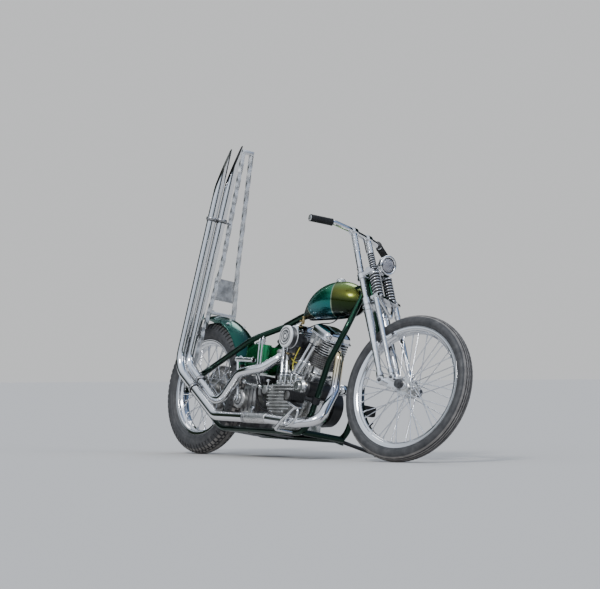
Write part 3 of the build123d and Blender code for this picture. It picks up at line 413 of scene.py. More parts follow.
# Wide soft lights from far away: direction, spread in degrees and power
for name, toward, spread, power in (("key", (-0.35, 0.75, -0.75), 14, 1.5),
                                    ("fill", (-0.9, -0.25, -0.5), 30, 0.5),
                                    ("back", (0.5, -0.6, -0.9), 25, 0.6)):
    light = bpy.data.lights.new(name, "SUN")
    light.angle = math.radians(spread)
    light.energy = power
    placed(name, light).rotation_euler = Vector(toward).to_track_quat("-Z", "Y").to_euler()


# Building blocks: every shape is drawn in millimetres in the machine's or the fork's frame
def unit(axis):
    return Vector(axis).normalized()


def around(centre, radius, degrees, y=0.0):
    """A point on a circle about a crosswise axis."""
    c, s = ray(degrees)
    return Vector(centre) + Vector((radius * c, y, radius * s))


def circle(radius, steps=16):
    """A round section."""
    return [(radius * c, radius * s) for c, s in (ray(360 * k / steps) for k in range(steps))]


def rounded_rect(half_x, half_y, corner, steps=5):
    """A rectangle's outline with rounded corners."""
    corner = min(corner, half_x, half_y)
    outline = []
    for quarter, (sx, sy) in enumerate(((1, 1), (-1, 1), (-1, -1), (1, -1))):
        for k in range(steps + 1):
            c, s = ray(90 * quarter + 90 * k / steps)
            outline.append((sx * (half_x - corner) + corner * c, sy * (half_y - corner) + corner * s))
    return outline


def rounded(points, radii, step=7):
    """Straight runs joined by tangent arcs, as a list of points."""
    points = [Vector(p) for p in points]
    path = [points[0]]
    for before, at, after, radius in zip(points, points[1:], points[2:], radii):
        came = (at - before).normalized()
        goes = (after - at).normalized()
        bend = came.angle(goes)
        inward = (goes - came * came.dot(goes)).normalized()
        start = at - came * radius * math.tan(bend / 2)
        count = max(3, int(math.degrees(bend) / step))
        for k in range(count + 1):
            turned = bend * k / count
            path.append(start + inward * radius * (1 - math.cos(turned)) + came * radius * math.sin(turned))
    return path + [points[-1]]


def curve(*points, per=8):
    """A smooth path through points."""
    points = [Vector(p) for p in points]
    ends = [points[0] * 2 - points[1]] + points + [points[-1] * 2 - points[-2]]
    path = []
    for a, b, c, d in zip(ends, ends[1:], ends[2:], ends[3:]):
        for t in (k / per for k in range(per)):
            path.append(0.5 * (2 * b + (c - a) * t + (2 * a - 5 * b + 4 * c - d) * t * t
                               + (3 * b - a - 3 * c + d) * t * t * t))
    return path + [points[-1]]


def resample(path, step):
    """Points along a path at equal steps."""
    lengths = [0]
    for a, b in zip(path, path[1:]):
        lengths.append(lengths[-1] + (b - a).length)
    count = max(2, int(lengths[-1] / step))
    made = []
    for k in range(count + 1):
        at = lengths[-1] * k / count
        j = min(max(np.searchsorted(lengths, at) - 1, 0), len(path) - 2)
        share = (at - lengths[j]) / max(lengths[j + 1] - lengths[j], 1e-9)
        made.append(path[j].lerp(path[j + 1], share))
    return made


def both_ways(half):
    """A profile from its middle point out, mirrored to the other side."""
    return [(r, -y) for r, y in reversed(half[1:])] + half


class Batch:
    """Shapes that share a look and ride one body, gathered into one mesh."""

    def __init__(self, name, look, body="frame", sharp=38):
        self.name, self.look, self.body, self.sharp = name, look, body, sharp
        self.space = forked if body in ("fork", "front_wheel") else machine
        self.points, self.faces = [], []
        self.second, self.second_look = set(), None

    def rings(self, rings, caps=True):
        """Faces between loops of points; a loop of one point closes to a tip."""
        start = len(self.points)
        for ring in rings:
            self.points += ring
        if caps and len(rings[0]) > 2:
            first_cap = tuple(start + i for i in range(len(rings[0])))[::-1]
        for low, high in zip(rings, rings[1:]):
            a, b, na, nb = start, start + len(low), len(low), len(high)
            start = b
            count = max(na, nb)
            for i in range(count):
                j = (i + 1) % count
                if na == 1:
                    self.faces.append((a, b + j, b + i))
                elif nb == 1:
                    self.faces.append((a + i, a + j, b))
                else:
                    self.faces.append((a + i, a + j, b + j, b + i))
        if caps and len(rings[0]) > 2:
            self.faces.append(first_cap)
        if caps and len(rings[-1]) > 2:
            self.faces.append(tuple(start + i for i in range(len(rings[-1]))))

    def sweep(self, path, section, twists=None, hint=None):
        """A section carried along a path."""
        path = [Vector(p) for p in path]
        normal = hint
        rings = []
        for k, p in enumerate(path):
            along = (path[min(k + 1, len(path) - 1)] - path[max(k - 1, 0)]).normalized()
            if normal is None:
                normal = along.orthogonal()
            normal = (normal - along * normal.dot(along)).normalized()
            side = along.cross(normal)
            c, s = ray(twists[k] if twists else 0)
            u, v = normal * c + side * s, side * c - normal * s
            rings.append([p + u * x + v * y for x, y in section])
        self.rings(rings)

    def pipe(self, path, radius, steps=12):
        self.sweep(path, circle(radius, steps))

    def spin(self, profile, at, axis=RIGHT, steps=40, caps=True):
        """A profile of (radius, distance along) turned about an axis."""
        at, axis = Vector(at), unit(axis)
        u = axis.orthogonal().normalized()
        v = axis.cross(u)
        rings = []
        for radius, along in profile:
            middle = at + axis * along
            rings.append([middle + (u * x + v * y) * radius for x, y in circle(1, steps)]
                         if radius else [middle])
        self.rings(rings, caps)

    def solid(self, at, axis, steps, *profile):
        """A turned solid, its profile closed flat to the axis at both ends."""
        self.spin([(0, profile[0][1]), *profile, (0, profile[-1][1])], at, axis, steps)

    def disc(self, at, axis, steps, radius, high, low=0):
        self.solid(at, axis, steps, (radius, low), (radius, high))

    def bolt(self, at, axis=RIGHT, radius=6, height=5, washer=True):
        """A hexagon head on its washer."""
        if washer:
            self.disc(at, axis, 14, radius * 1.35, 1.2)
        self.solid(at, axis, 6, (radius, 0), (radius, height * 0.8), (radius * 0.84, height))

    def acorn(self, at, axis, radius, height):
        """A domed nut."""
        self.disc(at, axis, 16, radius * 1.3, 1.5)
        self.disc(at, axis, 6, radius, height * 0.45)
        dome = [(radius * 0.8 * c, height * (0.45 + 0.55 * s)) for c, s in map(ray, (0, 20, 40, 60, 78))]
        self.spin([(0, height * 0.4)] + dome + [(0, height)], at, axis, 16)

    def screw(self, at, axis, radius, height):
        """A round head with a soft edge."""
        self.solid(at, axis, 12, (radius, 0), (radius, height * 0.55), (radius * 0.7, height))

    def slab(self, at, normal, x_dir, outline, low, high, bevel=1.5):
        """A flat plate with softened edges."""
        at, normal, x_dir = Vector(at), unit(normal), unit(x_dir)
        y_dir = normal.cross(x_dir)
        middle = Vector((sum(p[0] for p in outline), sum(p[1] for p in outline))) / len(outline)
        size = max(abs(p[0] - middle.x) for p in outline)
        shrink = (size - bevel) / size
        self.rings([[at + normal * height + x_dir * (middle.x + (x - middle.x) * scale)
                     + y_dir * (middle.y + (y - middle.y) * scale) for x, y in outline]
                    for height, scale in ((low, shrink), (low + bevel, 1), (high - bevel, 1),
                                          (high, shrink))])

    def block(self, at, normal, half_x, half_y, corner, low, high, bevel=1.5, x_dir=AHEAD, steps=5):
        """A plate with rounded corners."""
        self.slab(at, normal, x_dir, rounded_rect(half_x, half_y, corner, steps), low, high, bevel)

    def strap(self, path, half_x, half_y, corner, hint=UP):
        """A flat bar along a path."""
        self.sweep(path, rounded_rect(half_x, half_y, corner, 2), hint=hint)

    def done(self, replaces=()):
        """The finished object, riding its body."""
        mesh = bpy.data.meshes.new(self.name)
        mesh.from_pydata([self.space @ (Vector(p) * MM) for p in self.points], [], self.faces)
        mesh.materials.append(self.look)
        if self.second_look:
            mesh.materials.append(self.second_look)
            for k in self.second:
                mesh.polygons[k].material_index = 1
        made = placed(self.name, mesh)
        work = bmesh.new()
        work.from_mesh(mesh)
        bmesh.ops.recalc_face_normals(work, faces=work.faces)
        work.to_mesh(mesh)
        work.free()
        mesh.shade_smooth()
        mesh.set_sharp_from_angle(angle=math.radians(self.sharp))
        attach(made, self.body)
        if replaces:
            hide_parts(*replaces)


# Sizes shared with the part's source, in millimetres
CRANK_X, CRANK_Z = 855, 262
V_HALF = 22.5
HEAD_TOP, HEAD_HALF_Y = 331, 70
PUSHROD_Y = -104
PIPE_RADIUS = 22.25
SPRING_LEG_X = 61
LEG_Y_LOW, LEG_Y_TOP = 75, 62
PERCH_Z = 806
TOP_TREE_Z = 945
NECK_BOTTOM, NECK_TOP = 819, 931
RISER_TOP, RISER_Y_TOP = 1194, 55
CHAIN_Y, CHAIN_PITCH = 72, 15.875
WHEEL_TEETH, BOX_TEETH = 48, 20
GEARBOX_X, GEARBOX_Z = 505, 262
FRONT_ROUTE = [
    (1050, -20, 500), (1096, -22, 478), (1104, -28, 318), (1164, -136, 158), (1052, -190, 140),
    (838, -196, 156), (392, -196, 165), (-2, -196, 403), (119, -160, 1580),
]
REAR_ROUTE = [
    (693, -58, 486), (688, -80, 462), (632, -126, 408), (560, -149, 394), (478, -149, 382),
    (332, -149, 224), (14, -149, 430), (137, -113, 1580),
]
FRONT_ROUTE, REAR_ROUTE = ([Vector(p) for p in route] for route in (FRONT_ROUTE, REAR_ROUTE))
REAR_CENTRE = Vector((0, 0, REAR_RADIUS))
FRONT_CENTRE = Vector((AXLE_X, 0, AXLE_Z))
SIDES = (-1, 1)


def cyl(way, height, x=0.0, y=0.0):
    """A point in a cylinder's frame: up its axis, ahead of it and to the left."""
    c, s = ray(V_HALF * way)
    return Vector((CRANK_X + height * s + x * c, y, CRANK_Z + height * c - x * s))


# Tyres with their treads
def arc(a, b, c, count):
    """Points of the arc from a to c through b."""
    (ax, ay), (bx, by), (cx, cy) = a, b, c
    d = 2 * (ax * (by - cy) + bx * (cy - ay) + cx * (ay - by))
    aa, bb, cc = ax * ax + ay * ay, bx * bx + by * by, cx * cx + cy * cy
    ux = (aa * (by - cy) + bb * (cy - ay) + cc * (ay - by)) / d
    uy = (aa * (cx - bx) + bb * (ax - cx) + cc * (bx - ax)) / d
    radius = math.hypot(ax - ux, ay - uy)
    start = math.atan2(ay - uy, ax - ux)
    turn_b, turn_c = ((math.atan2(y - uy, x - ux) - start) % (2 * math.pi) for x, y in (b, c))
    if turn_b > turn_c:
        turn_c -= 2 * math.pi
    return [(ux + radius * math.cos(start + turn_c * k / count),
             uy + radius * math.sin(start + turn_c * k / count))
            for k in range(count + 1)]


def tyre(name, node, centre, body, size, half_rows, pitches, share, depth, side_depth, wave):
    """A tyre whose tread rows are cut from the crown: rib, groove, block or staggered block."""
    radius, width, crown, drop, bead, flange, seat = size
    rows = [(-high, -low, kind) for low, high, kind in reversed(half_rows[1:])] + half_rows
    half = crown / 2
    bow = (half * half + drop * drop) / (2 * drop)
    profile = []
    for low, high, kind in rows:
        for y in (low + 0.5, (low + high) / 2, high - 0.5):
            profile.append((radius - bow + math.sqrt(bow * bow - y * y), y, kind, depth))
    sides = arc((radius - drop, half), ((bead + radius) / 2 + 6, width / 2), (flange, seat), 26)
    lower = [(r, y - (1.2 if k in (4, 17, 21) else 0)) for k, (r, y) in enumerate(sides)][1:]
    lower = [(r, y, rows[0][2] if r > radius - drop - 22 else "rib", side_depth) for r, y in lower]
    profile = ([(bead, -seat, "rib", 0)] + [(r, -y, k, d) for r, y, k, d in reversed(lower)] + profile + lower
               + [(bead, seat, "rib", 0)])
    count = len(profile)
    normals = []
    for k in range(count):
        before, after = profile[max(k - 1, 0)], profile[min(k + 1, count - 1)]
        across, along = after[0] - before[0], after[1] - before[1]
        length = math.hypot(across, along)
        normals.append((along / length, -across / length))
    edge = 0.035
    shares = sorted({round(s + e, 4) for s in (0, share - 0.5, 0.5, share) for e in (0, edge)})
    batch = Batch(name, TYRE, body, 30)
    batch.second_look = DUSTY_TREAD_AND_GROOVE_SHADE
    for pitch in range(pitches):
        for s in shares:
            zigzag = wave * (1 - 4 * abs(((s + 0.25) % 1) - 0.5))
            solid = {kind: edge - 0.001 <= at <= share + 0.001 for kind, at in
                     (("block", s), ("stagger", (s + 0.5) % 1))} | {"rib": True, "groove": False}
            for (r, y, kind, cut), (nr, ny) in zip(profile, normals):
                down = 0 if solid[kind] else cut
                shift = zigzag if abs(y) < half * 0.8 else 0
                batch.points.append(around(centre, r - nr * down, 360 * (pitch + s) / pitches,
                                           y + shift - ny * down))
    loops = pitches * len(shares)
    for i in range(loops):
        for k in range(count):
            j, n = (i + 1) % loops, (k + 1) % count
            corners = (i * count + k, j * count + k, j * count + n, i * count + n)
            low = min((batch.points[c] - centre).xz.length for c in corners)
            top = min(profile[k][0], profile[n][0])
            # Crown faces take the lighter worn tread; groove walls and floors stay dark, partly the rubber's
            # own colour and partly painted shade in the grooves.
            if top > radius - drop - 3 and low > top - 0.8 - depth * 0.2:
                batch.second.add(len(batch.faces))
            batch.faces.append(corners)
    batch.done([node])


tyre("rear_tread", "rear_tyre", REAR_CENTRE, "rear_wheel", (331.6, 104, 76, 16, 229, 241, 30.5),
     [(-10, 10, "rib"), (10, 13, "groove"), (13, 23.5, "block"), (23.5, 27, "groove"), (27, 38, "stagger")],
     72, 0.66, 6.5, 4.5, 1.6)
tyre("front_tread", "front_tyre", FRONT_CENTRE, "front_wheel", (339.7, 80, 56, 12, 267, 282, 23.5),
     [(-1.5, 1.5, "rib"), (1.5, 4.5, "groove"), (4.5, 11.5, "rib"), (11.5, 14.5, "groove"),
      (14.5, 20.5, "rib"),
      (20.5, 23.5, "groove"), (23.5, 28, "rib")], 96, 0.8, 4.0, 1.6, 1.3)


# Wheels: rolled rims, laced spokes with nipples, turned hubs and valve stems
def wire_wheel(end, centre, bead, flange, half, hub, hub_look, flange_radius, flange_y):
    node, body = end + "_rim", end + "_wheel"
    well = bead - 10
    half_rim = [(well - 3.5, 0), (well - 3.5, 12), (bead - 5, 19), (bead - 3.6, 24), (bead - 2.5, half - 3),
                (bead + 4, half), (flange - 3, half + 0.6), (flange + 0.8, half + 1.6),
                (flange + 1.6, half - 0.6),
                (flange - 1, half - 3), (bead, half - 3.6), (bead, 19), (well, 13), (well, 0)]
    half_loop = [(p.x, p.y) for p in curve(*((r, y, 0) for r, y in half_rim), per=3)]
    loop = half_loop + [(r, -y) for r, y in reversed(half_loop[1:-1])] + half_loop[:1]
    rim = Batch(node, CHROME, body, 50)
    rim.spin(loop, centre, LEFT, 160, caps=False)
    rim.done([node])
    laced = Batch(end + "_spokes", SPOKE_CHROME, body, 50)
    core = Batch(end + "_hub", hub_look, body, 32)
    core.spin(hub, centre, LEFT, 56)
    for side in SIDES:
        for k in range(10):
            for way in SIDES:
                start = k * 36 + (18 if way < 0 else 0) + (9 if side < 0 else 0)
                a = around(centre, flange_radius - 6, start, side * (flange_y + 2.8 * way))
                b = around(centre, well - 2, start + way * 54, side * 7)
                along = (b - a).normalized()
                laced.pipe([a, b], 2.3, 8)
                laced.pipe([b - along * 15, b + along * 2], 3.6, 8)
                laced.spin([(0, 0), (3.6, 0), (3.6, 1.6), (0, 2.4)], a, (0, side * way, 0), 8)
        core.spin([(flange_radius - 16, -3), (flange_radius - 1, -3), (flange_radius, -2), (flange_radius, 2),
                   (flange_radius - 1, 3), (flange_radius - 16, 3)], centre + LEFT * side * flange_y, LEFT,
                  56)
    laced.done()
    core.done()
    stem = Batch(end + "_valve", BLACK, body)
    foot = around(centre, bead - 14, 200)
    stem.spin([(0, 0), (5, 0), (4, 6), (3.4, 8), (3.4, 22), (0, 23)], foot, centre - foot, 12)
    stem.done()


wire_wheel("rear", REAR_CENTRE, 229, 241, 34, [
    (0, -84), (20, -84), (24, -81), (26, -74), (26, -44), (33, -38), (50, -37), (50, -31), (34, -28),
    (31, 0), (34, 28),
    (58, 31), (92, 38), (97, 41), (98, 44), (98, 57), (96, 60), (84, 60.5), (30, 62), (26, 66), (26, 84),
    (0, 84),
], CASE, 58, 34)
wire_wheel("front", FRONT_CENTRE, 267, 282, 27, both_ways([
    (22, 0), (25, 23), (34, 26), (34, 30), (24, 31), (20, 34), (20, 40), (19, 45), (15, 48), (0, 48),
]), POLISHED, 42, 28)

# Final drive: toothed sprocket and linked chain
wheel_pitch, box_pitch = (CHAIN_PITCH / (2 * math.sin(math.pi / teeth)) for teeth in (WHEEL_TEETH, BOX_TEETH))
span = math.hypot(GEARBOX_X, GEARBOX_Z - REAR_RADIUS)
slope = math.degrees(math.atan2(GEARBOX_Z - REAR_RADIUS, GEARBOX_X))
wrap = math.degrees(math.acos((wheel_pitch - box_pitch) / span))
chain_line = [around((0, CHAIN_Y, REAR_RADIUS), wheel_pitch, slope + wrap + (360 - 2 * wrap) * k / 200)
              for k in range(200)]
chain_line += [around((GEARBOX_X, CHAIN_Y, GEARBOX_Z), box_pitch, slope - wrap + wrap * k / 50)
               for k in range(101)]
chain_line.append(chain_line[0])
total = sum((b - a).length for a, b in zip(chain_line, chain_line[1:]))
pins = resample(chain_line, total / (round(total / CHAIN_PITCH / 2) * 2) * 0.99999)[:-1]
links = Batch("chain_links", STEEL)
for k, (a, b) in enumerate(zip(pins, pins[1:] + pins[:1])):
    along = (b - a).normalized()
    outline = [((b - a).length / 2 + 5.5 * c, 5.5 * s) for c, s in map(ray, (-70, -35, 0, 35, 70))]
    outline += [(0, 4.2)] + [(-x, y) for x, y in reversed(outline)] + [(0, -4.2)]
    for side in SIDES:
        middle = (a + b) / 2 + LEFT * side * (7.4 if k % 2 else 5.6)
        links.rings([[middle + along * x + along.cross(LEFT) * y + LEFT * w for x, y in outline]
                     for w in (-0.7, 0.7)])
    links.disc(a, LEFT, 10, 4.8, 4.6, -4.6)
    links.disc(a, LEFT, 8, 2.4, 8.6, -8.6)
links.done(["chain"])
teeth = Batch("sprocket_teeth", STEEL, "rear_wheel")
first = math.degrees(math.atan2(pins[0].z - REAR_RADIUS, pins[0].x))
TOOTH = ((0.0, -5.6), (0.22, -4.4), (0.36, 0.5), (0.44, 2.6), (0.56, 2.6), (0.64, 0.5), (0.78, -4.4))
outline = [(wheel_pitch + rise, first + 360 * (k + share) / WHEEL_TEETH) for k in range(WHEEL_TEETH)
           for share, rise in TOOTH]
teeth.rings([[around((0, CHAIN_Y + y, REAR_RADIUS), radius * shrink, degrees) for radius, degrees in outline]
             for y, shrink in ((-2.6, 0.985), (-1.6, 1), (1.6, 1), (2.6, 0.985))])
teeth.spin([(26, 62), (62, 62), (64, 66), (64, 69), (60, 70), (26, 70)], REAR_CENTRE, LEFT, 48)
for k in range(5):
    teeth.bolt(around(REAR_CENTRE, 46, 72 * k + 20, CHAIN_Y + 2.6), LEFT)
teeth.done(["rear_sprocket"])

# Springer fork: wound springs over near-black cores that paint the shade between the coils, collars, nuts and
# the brace under the perch
springs = Batch("wound_springs", COIL, "fork", 60)
# Painted shade: near-black cores inside the springs darken the spaces between the coils.
coil_shade = Batch("spring_coil_shade", NEAR_BLACK_AND_SHADE, "fork")
COILS, COIL_STEPS = 8, 20
for side in SIDES:
    for low, high, core_top, radius, wire, core in (
            (PERCH_Z + 5, NECK_TOP + 5, NECK_TOP + 3, 24.8, 2.5, 22.6),
            (TOP_TREE_Z + 5, 1046, 1044, 16, 1.8, 14.4)):
        path = []
        for k in range(COILS * COIL_STEPS + 1):
            c, s = ray(360 * k / COIL_STEPS)
            path.append(Vector((SPRING_LEG_X + (radius - wire) * c, side * 48 + (radius - wire) * s,
                                low + wire + (high - low - 2 * wire) * k / (COILS * COIL_STEPS))))
        springs.pipe(path, wire, 8)
        coil_shade.pipe([(SPRING_LEG_X, side * 48, low - 2), (SPRING_LEG_X, side * 48, core_top)], core, 14)
springs.done(["fork_springs"])
coil_shade.done()

collars = Batch("fork_collars", CHROME, "fork")
knuckles = Batch("pivot_nuts", DARK_CAST, "fork")
for side in SIDES:
    out = LEFT * side
    leg = out * LEG_Y_TOP
    spring = AHEAD * SPRING_LEG_X + out * 48
    for z, radius, tall in ((782, 24, 6), (756, 22.8, 5), (966, 16.5, 5), (986, 15.6, 4)):
        collars.solid(leg + UP * z, UP, 32, (radius - 1, 0), (radius, 1), (radius, tall - 1),
                      (radius - 1, tall))
    collars.solid((SPRING_LEG_X, side * LEG_Y_LOW, 742), UP, 28, (13.5, 0), (14.5, 1), (14.5, 5), (13.5, 6))
    for z in (PERCH_Z + 4, NECK_TOP + 1.5):
        collars.solid(spring + UP * z, UP, 32, (25, 0), (25.5, 1), (25.5, 3), (24.5, 3.6))
    collars.spin([(0, 0), (16.5, 0), (17, 1), (17, 3), (0, 3.6)], spring + UP * 1044, UP, 28)
    collars.acorn(spring + UP * 1047, UP, 8, 15)
    riser_head = Vector((0, side * RISER_Y_TOP, RISER_TOP))
    along = (riser_head - leg - UP * (TOP_TREE_Z + 10)).normalized()
    for k in range(11):
        collars.solid(riser_head - along * (30 + 8.5 * k), along, 28, (14.2, 0), (15.3, 1.5), (15.3, 3),
                      (14.2, 4.5))
    for x, z, radius in ((0, 395, 19), (SPRING_LEG_X, 381, 15.5)):
        collars.solid((x, side * 62, z), out, 36, (radius - 2, -4), (radius, -2), (radius, 20),
                      (radius - 2, 22))
        collars.spin([(radius - 1, 26), (radius - 3, 48), (0, 52)], (x, side * 73, z - 6), UP, 28)
    collars.strap([(SPRING_LEG_X + 2, side * 50, PERCH_Z - 8), (SPRING_LEG_X + 6, side * 26, 752),
                   (SPRING_LEG_X + 10, side * 3, 712)], 7, 2.4, 2, AHEAD)
    collars.bolt((SPRING_LEG_X + 20, side * 62, PERCH_Z - 2), AHEAD, 5.5)
    collars.block((0, side * 30, TOP_TREE_Z + 8), UP, 16, 26, 10, 0, 4, 1)
    collars.bolt((-21, side * LEG_Y_TOP, NECK_TOP + 8), -AHEAD, 5.5)
    collars.block((30, side * 69, TOP_TREE_Z + 2), out, 36, 9, 8, 0, 7)
    collars.block((44, side * 64, TOP_TREE_Z + 12), out, 15, 15, 12, 0, 8)
    collars.disc((46, side * 72, TOP_TREE_Z + 16), out, 18, 6, 1.4)
    for z, radius in ((790, 24.4), (761, 23.2), (961, 17), (992, 15.8)):
        knuckles.spin([(radius - 4, 0), (radius, 0), (radius, 2), (radius - 4, 2)], leg + UP * (z - 3), UP,
                      32)
    for x, z, radius in ((0, 395, 12), (SPRING_LEG_X, 381, 10)):
        pivot = (x, side * 84, z)
        knuckles.spin([(radius + 3, -7), (radius + 4.4, -6), (radius + 4.4, -4), (radius + 3, -3)], pivot,
                      out, 28)
        knuckles.disc(pivot, out, 24, radius + 1, 2.5)
        knuckles.acorn((x, side * 85, z), out, radius * 0.8, 10)
    axle_end = FRONT_CENTRE + out * 62
    knuckles.solid(axle_end, out, 36, (20, 0), (21, 1.5), (21, 20), (19, 22.5), (12, 23), (11, 21))
    knuckles.solid(axle_end, out, 20, (8.6, 20), (8.6, 23), (7.6, 24))
collars.solid((SPRING_LEG_X + 10, -4, 708), UP, 20, (11, 0), (11, 10), (9, 12))
collars.acorn((0, 0, TOP_TREE_Z + 12), UP, 15, 20)
collars.done()
knuckles.done()

cups = Batch("neck_cups", FRAME_GREEN)
steer_axis = fork_axes.to_3x3() @ UP
for z in (NECK_BOTTOM + 1, NECK_TOP - 9):
    cups.solid(AHEAD * (WHEELBASE + TRAIL) + steer_axis * z, steer_axis, 36, (28.5, 0), (29.5, 1), (29.5, 7),
               (28.5, 8))
cups.strap([(1108, -26, 786), (1160, -24, 800), (1226, -18, 812)], 7, 3, 2.5)
cups.done()

# Handlebar grips with their bar ends, the far controls' clamp and the front cable
grip = Batch("ribbed_grips", RUBBER, "fork")
ends = Batch("bar_ends", POLISHED, "fork")
profile = [(0, 3), (15, 3), (17, 4), (17, 7)]
for z in (8 + 8.2 * k for k in range(13)):
    profile += [(16.2, z), (16.9, z + 1.6), (16.9, z + 5.2), (16.2, z + 6.8)]
profile += [(17.2, 117), (17.6, 119), (17.6, 122), (15, 123), (0, 123)]
for side in SIDES:
    bar_end = Vector((-66, side * 296, RISER_TOP + 17))
    inward = (Vector((-20, side * 170, RISER_TOP + 15)) - bar_end).normalized()
    grip.spin(profile, bar_end - inward * 4, inward, 32)
    ends.solid(bar_end - inward * 4, inward, 28, (4, 1), (5, 0), (11, 0.3), (13.6, 1.6), (14.4, 3.4))
grip.done(["grips"])
ends.done()
far_clamp = Batch("far_clamp", BLACK, "fork")
far_clamp.solid((-12, 154, RISER_TOP + 13), (20, -75, -4), 28, (16, -9), (17, -8), (17, 8), (16, 9))
far_clamp.done()
cable = Batch("front_cable", RUBBER, "fork")
cable.pipe(curve((0, 20, 1180), (9, 6, 1140), (13, 0, 1102), (20, 2, 1056), (25, 5, 1010), (22, 14, 972),
                 (20, 22, 956)), 2.8, 8)
cable.done()

# Headlight: spun shell, rim and glass
LAMP = Vector((112, 0, 973))
LAMP_TURN = 12
lamp_cos, lamp_sin = ray(LAMP_TURN)
facing = Vector((cos_rake * lamp_cos, -lamp_sin, -sin_rake * lamp_cos))
lamp_post = Vector((SPRING_LEG_X, 0, TOP_TREE_Z))
bowl = curve((0, -50, 0), (9, -50, 0), (22, -44, 0), (32, -33, 0), (38, -19, 0), (40, -10, 0), per=4)
shell = Batch("headlight_shell", CHROME, "fork")
shell.spin([(p.x, p.y) for p in bowl] + [
    (41, -8), (41, -5), (44.5, -4.5), (46.4, -2), (47, 1.5), (46, 4.8), (43.4, 7.0), (40, 7.6), (37, 6.4),
    (35.6, 4),
    (35.2, -5)], LAMP, facing, 72, caps=False)
shell.pipe([lamp_post + UP * 4, lamp_post + UP * 46], 8, 14)
shell.pipe([lamp_post + UP * 34, LAMP - facing * 42], 8.5, 14)
shell.acorn(lamp_post + UP * 46, UP, 9, 14)
shell.block(lamp_post - AHEAD * 22 + UP * 6, UP, 34, 13, 8, 0, 5, 1)
shell.done(["headlight"])
glass = Batch("headlight_glass", LENS, "fork", 70)
glass.spin([(33.8, -5), (33.8, 0.5), (31, 2.4), (25, 4.0), (16, 5.2), (8, 5.8), (0, 6)], LAMP, facing, 64)
glass.done(["headlight_lens"])
gasket = Batch("lens_gasket", NEAR_BLACK_AND_SHADE, "fork")
gasket.spin([(33.6, -4), (33.6, 2.6), (35.4, 3.2), (35.4, -4)], LAMP, facing, 64, caps=False)
gasket.done()


# Exhaust pipes, their tips cut on a long slant and hollow
CUT_LENGTH = 260
CUT_RISE = 200
PIPE_STEPS = 48
PIPE_WALL = 1.8
OPEN_WAY = Vector((-0.24, -0.971, 0))


def pipe_shell(name, node, route, bends, top, look, soot_and_shade_look):
    low, high = route[-2:]
    along = (high - low).normalized()
    tip = low + (high - low) * ((top - low.z) / (high.z - low.z))
    keep_to = tip - along * CUT_LENGTH
    path = resample(rounded(route[:-1] + [low.lerp(high, 0.75)], bends, 4), 9)
    path = [p for p in path if (p - keep_to).dot(along) < 0 or p.z < 500]
    slant = CUT_RISE / (2 * PIPE_RADIUS + 5)
    normal = AHEAD
    rings = []
    for before, p, after in zip(path[:1] + path, path, path[1:] + path[-1:]):
        way = (after - before).normalized()
        normal = (normal - way * normal.dot(way)).normalized()
        side = way.cross(normal)
        rings.append([p + normal * x + side * y for x, y in circle(PIPE_RADIUS, PIPE_STEPS)])
    first = rings[-1][0] - rings[-1][0].project(along)

    def cut_ring(radius):
        """The slanted edge, starting where the pipe's own rings start."""
        side = (AHEAD - along * along.x).normalized()
        ring = []
        for x, y in circle(radius, PIPE_STEPS):
            edge = keep_to + side * x + along.cross(side) * y
            level = -slant * (PIPE_RADIUS - 3) - slant * (edge - tip).dot(OPEN_WAY)
            rise = (level - (edge.z - tip.z)) / (along.z + slant * along.dot(OPEN_WAY))
            ring.append(edge + along * min(rise, (tip.z - edge.z) / along.z))
        shift = min(range(PIPE_STEPS), key=lambda k: (ring[k] - ring[k].project(along) - first).length)
        return ring[shift:] + ring[:shift]

    lip = cut_ring(PIPE_RADIUS - PIPE_WALL)
    shell = Batch(name, look, sharp=60)
    shell.rings(rings + [cut_ring(PIPE_RADIUS), lip], caps=False)
    shell.done([node])
    # Inside the tip: a short dark sleeve closed by a cone 60 mm in, dark partly as soot and partly as painted
    # shade for the rest of the open pipe.
    deep = keep_to - along * 60
    foot = [deep + (p - keep_to) - (p - keep_to).project(along) for p in lip]
    inner = Batch(name + "_inside", soot_and_shade_look, sharp=60)
    inner.rings([lip, foot], caps=False)
    inner.rings([foot, [deep]], caps=False)
    inner.done()


pipe_shell("front_pipe", "front_exhaust", FRONT_ROUTE, [32, 90, 60, 90, 120, 90, 130], 1520, PIPE_CHROME,
           INSIDE)
pipe_shell("rear_pipe", "rear_exhaust", REAR_ROUTE, [24, 60, 120, 80, 92, 75], 1546, PIPE_CHROME, NEAR_BLACK_AND_SHADE)

# Rolled clamps with painted shadow rings under them, the stay to the sissy bar, the sleeve and the port nuts
bands = Batch("pipe_bands", CLAMP)
shades = Batch("painted_band_shadows", NEAR_BLACK_AND_SHADE)


def on_pipe(*profile):
    """A profile measured out from the pipe's surface."""
    return [(PIPE_RADIUS + rise, along) for rise, along in profile]


def rolled_clamp(at, way):
    """A clamp round a pipe, with a near-black ring under it as its painted shadow."""
    bands.spin(on_pipe(*both_ways([(6.4, 0), (6, 6), (4.4, 8), (-1, 8)])), at, way)
    shades.spin(on_pipe((-1, -12), (2.4, -12), (3.4, -8), (-1, -8)), at, way)


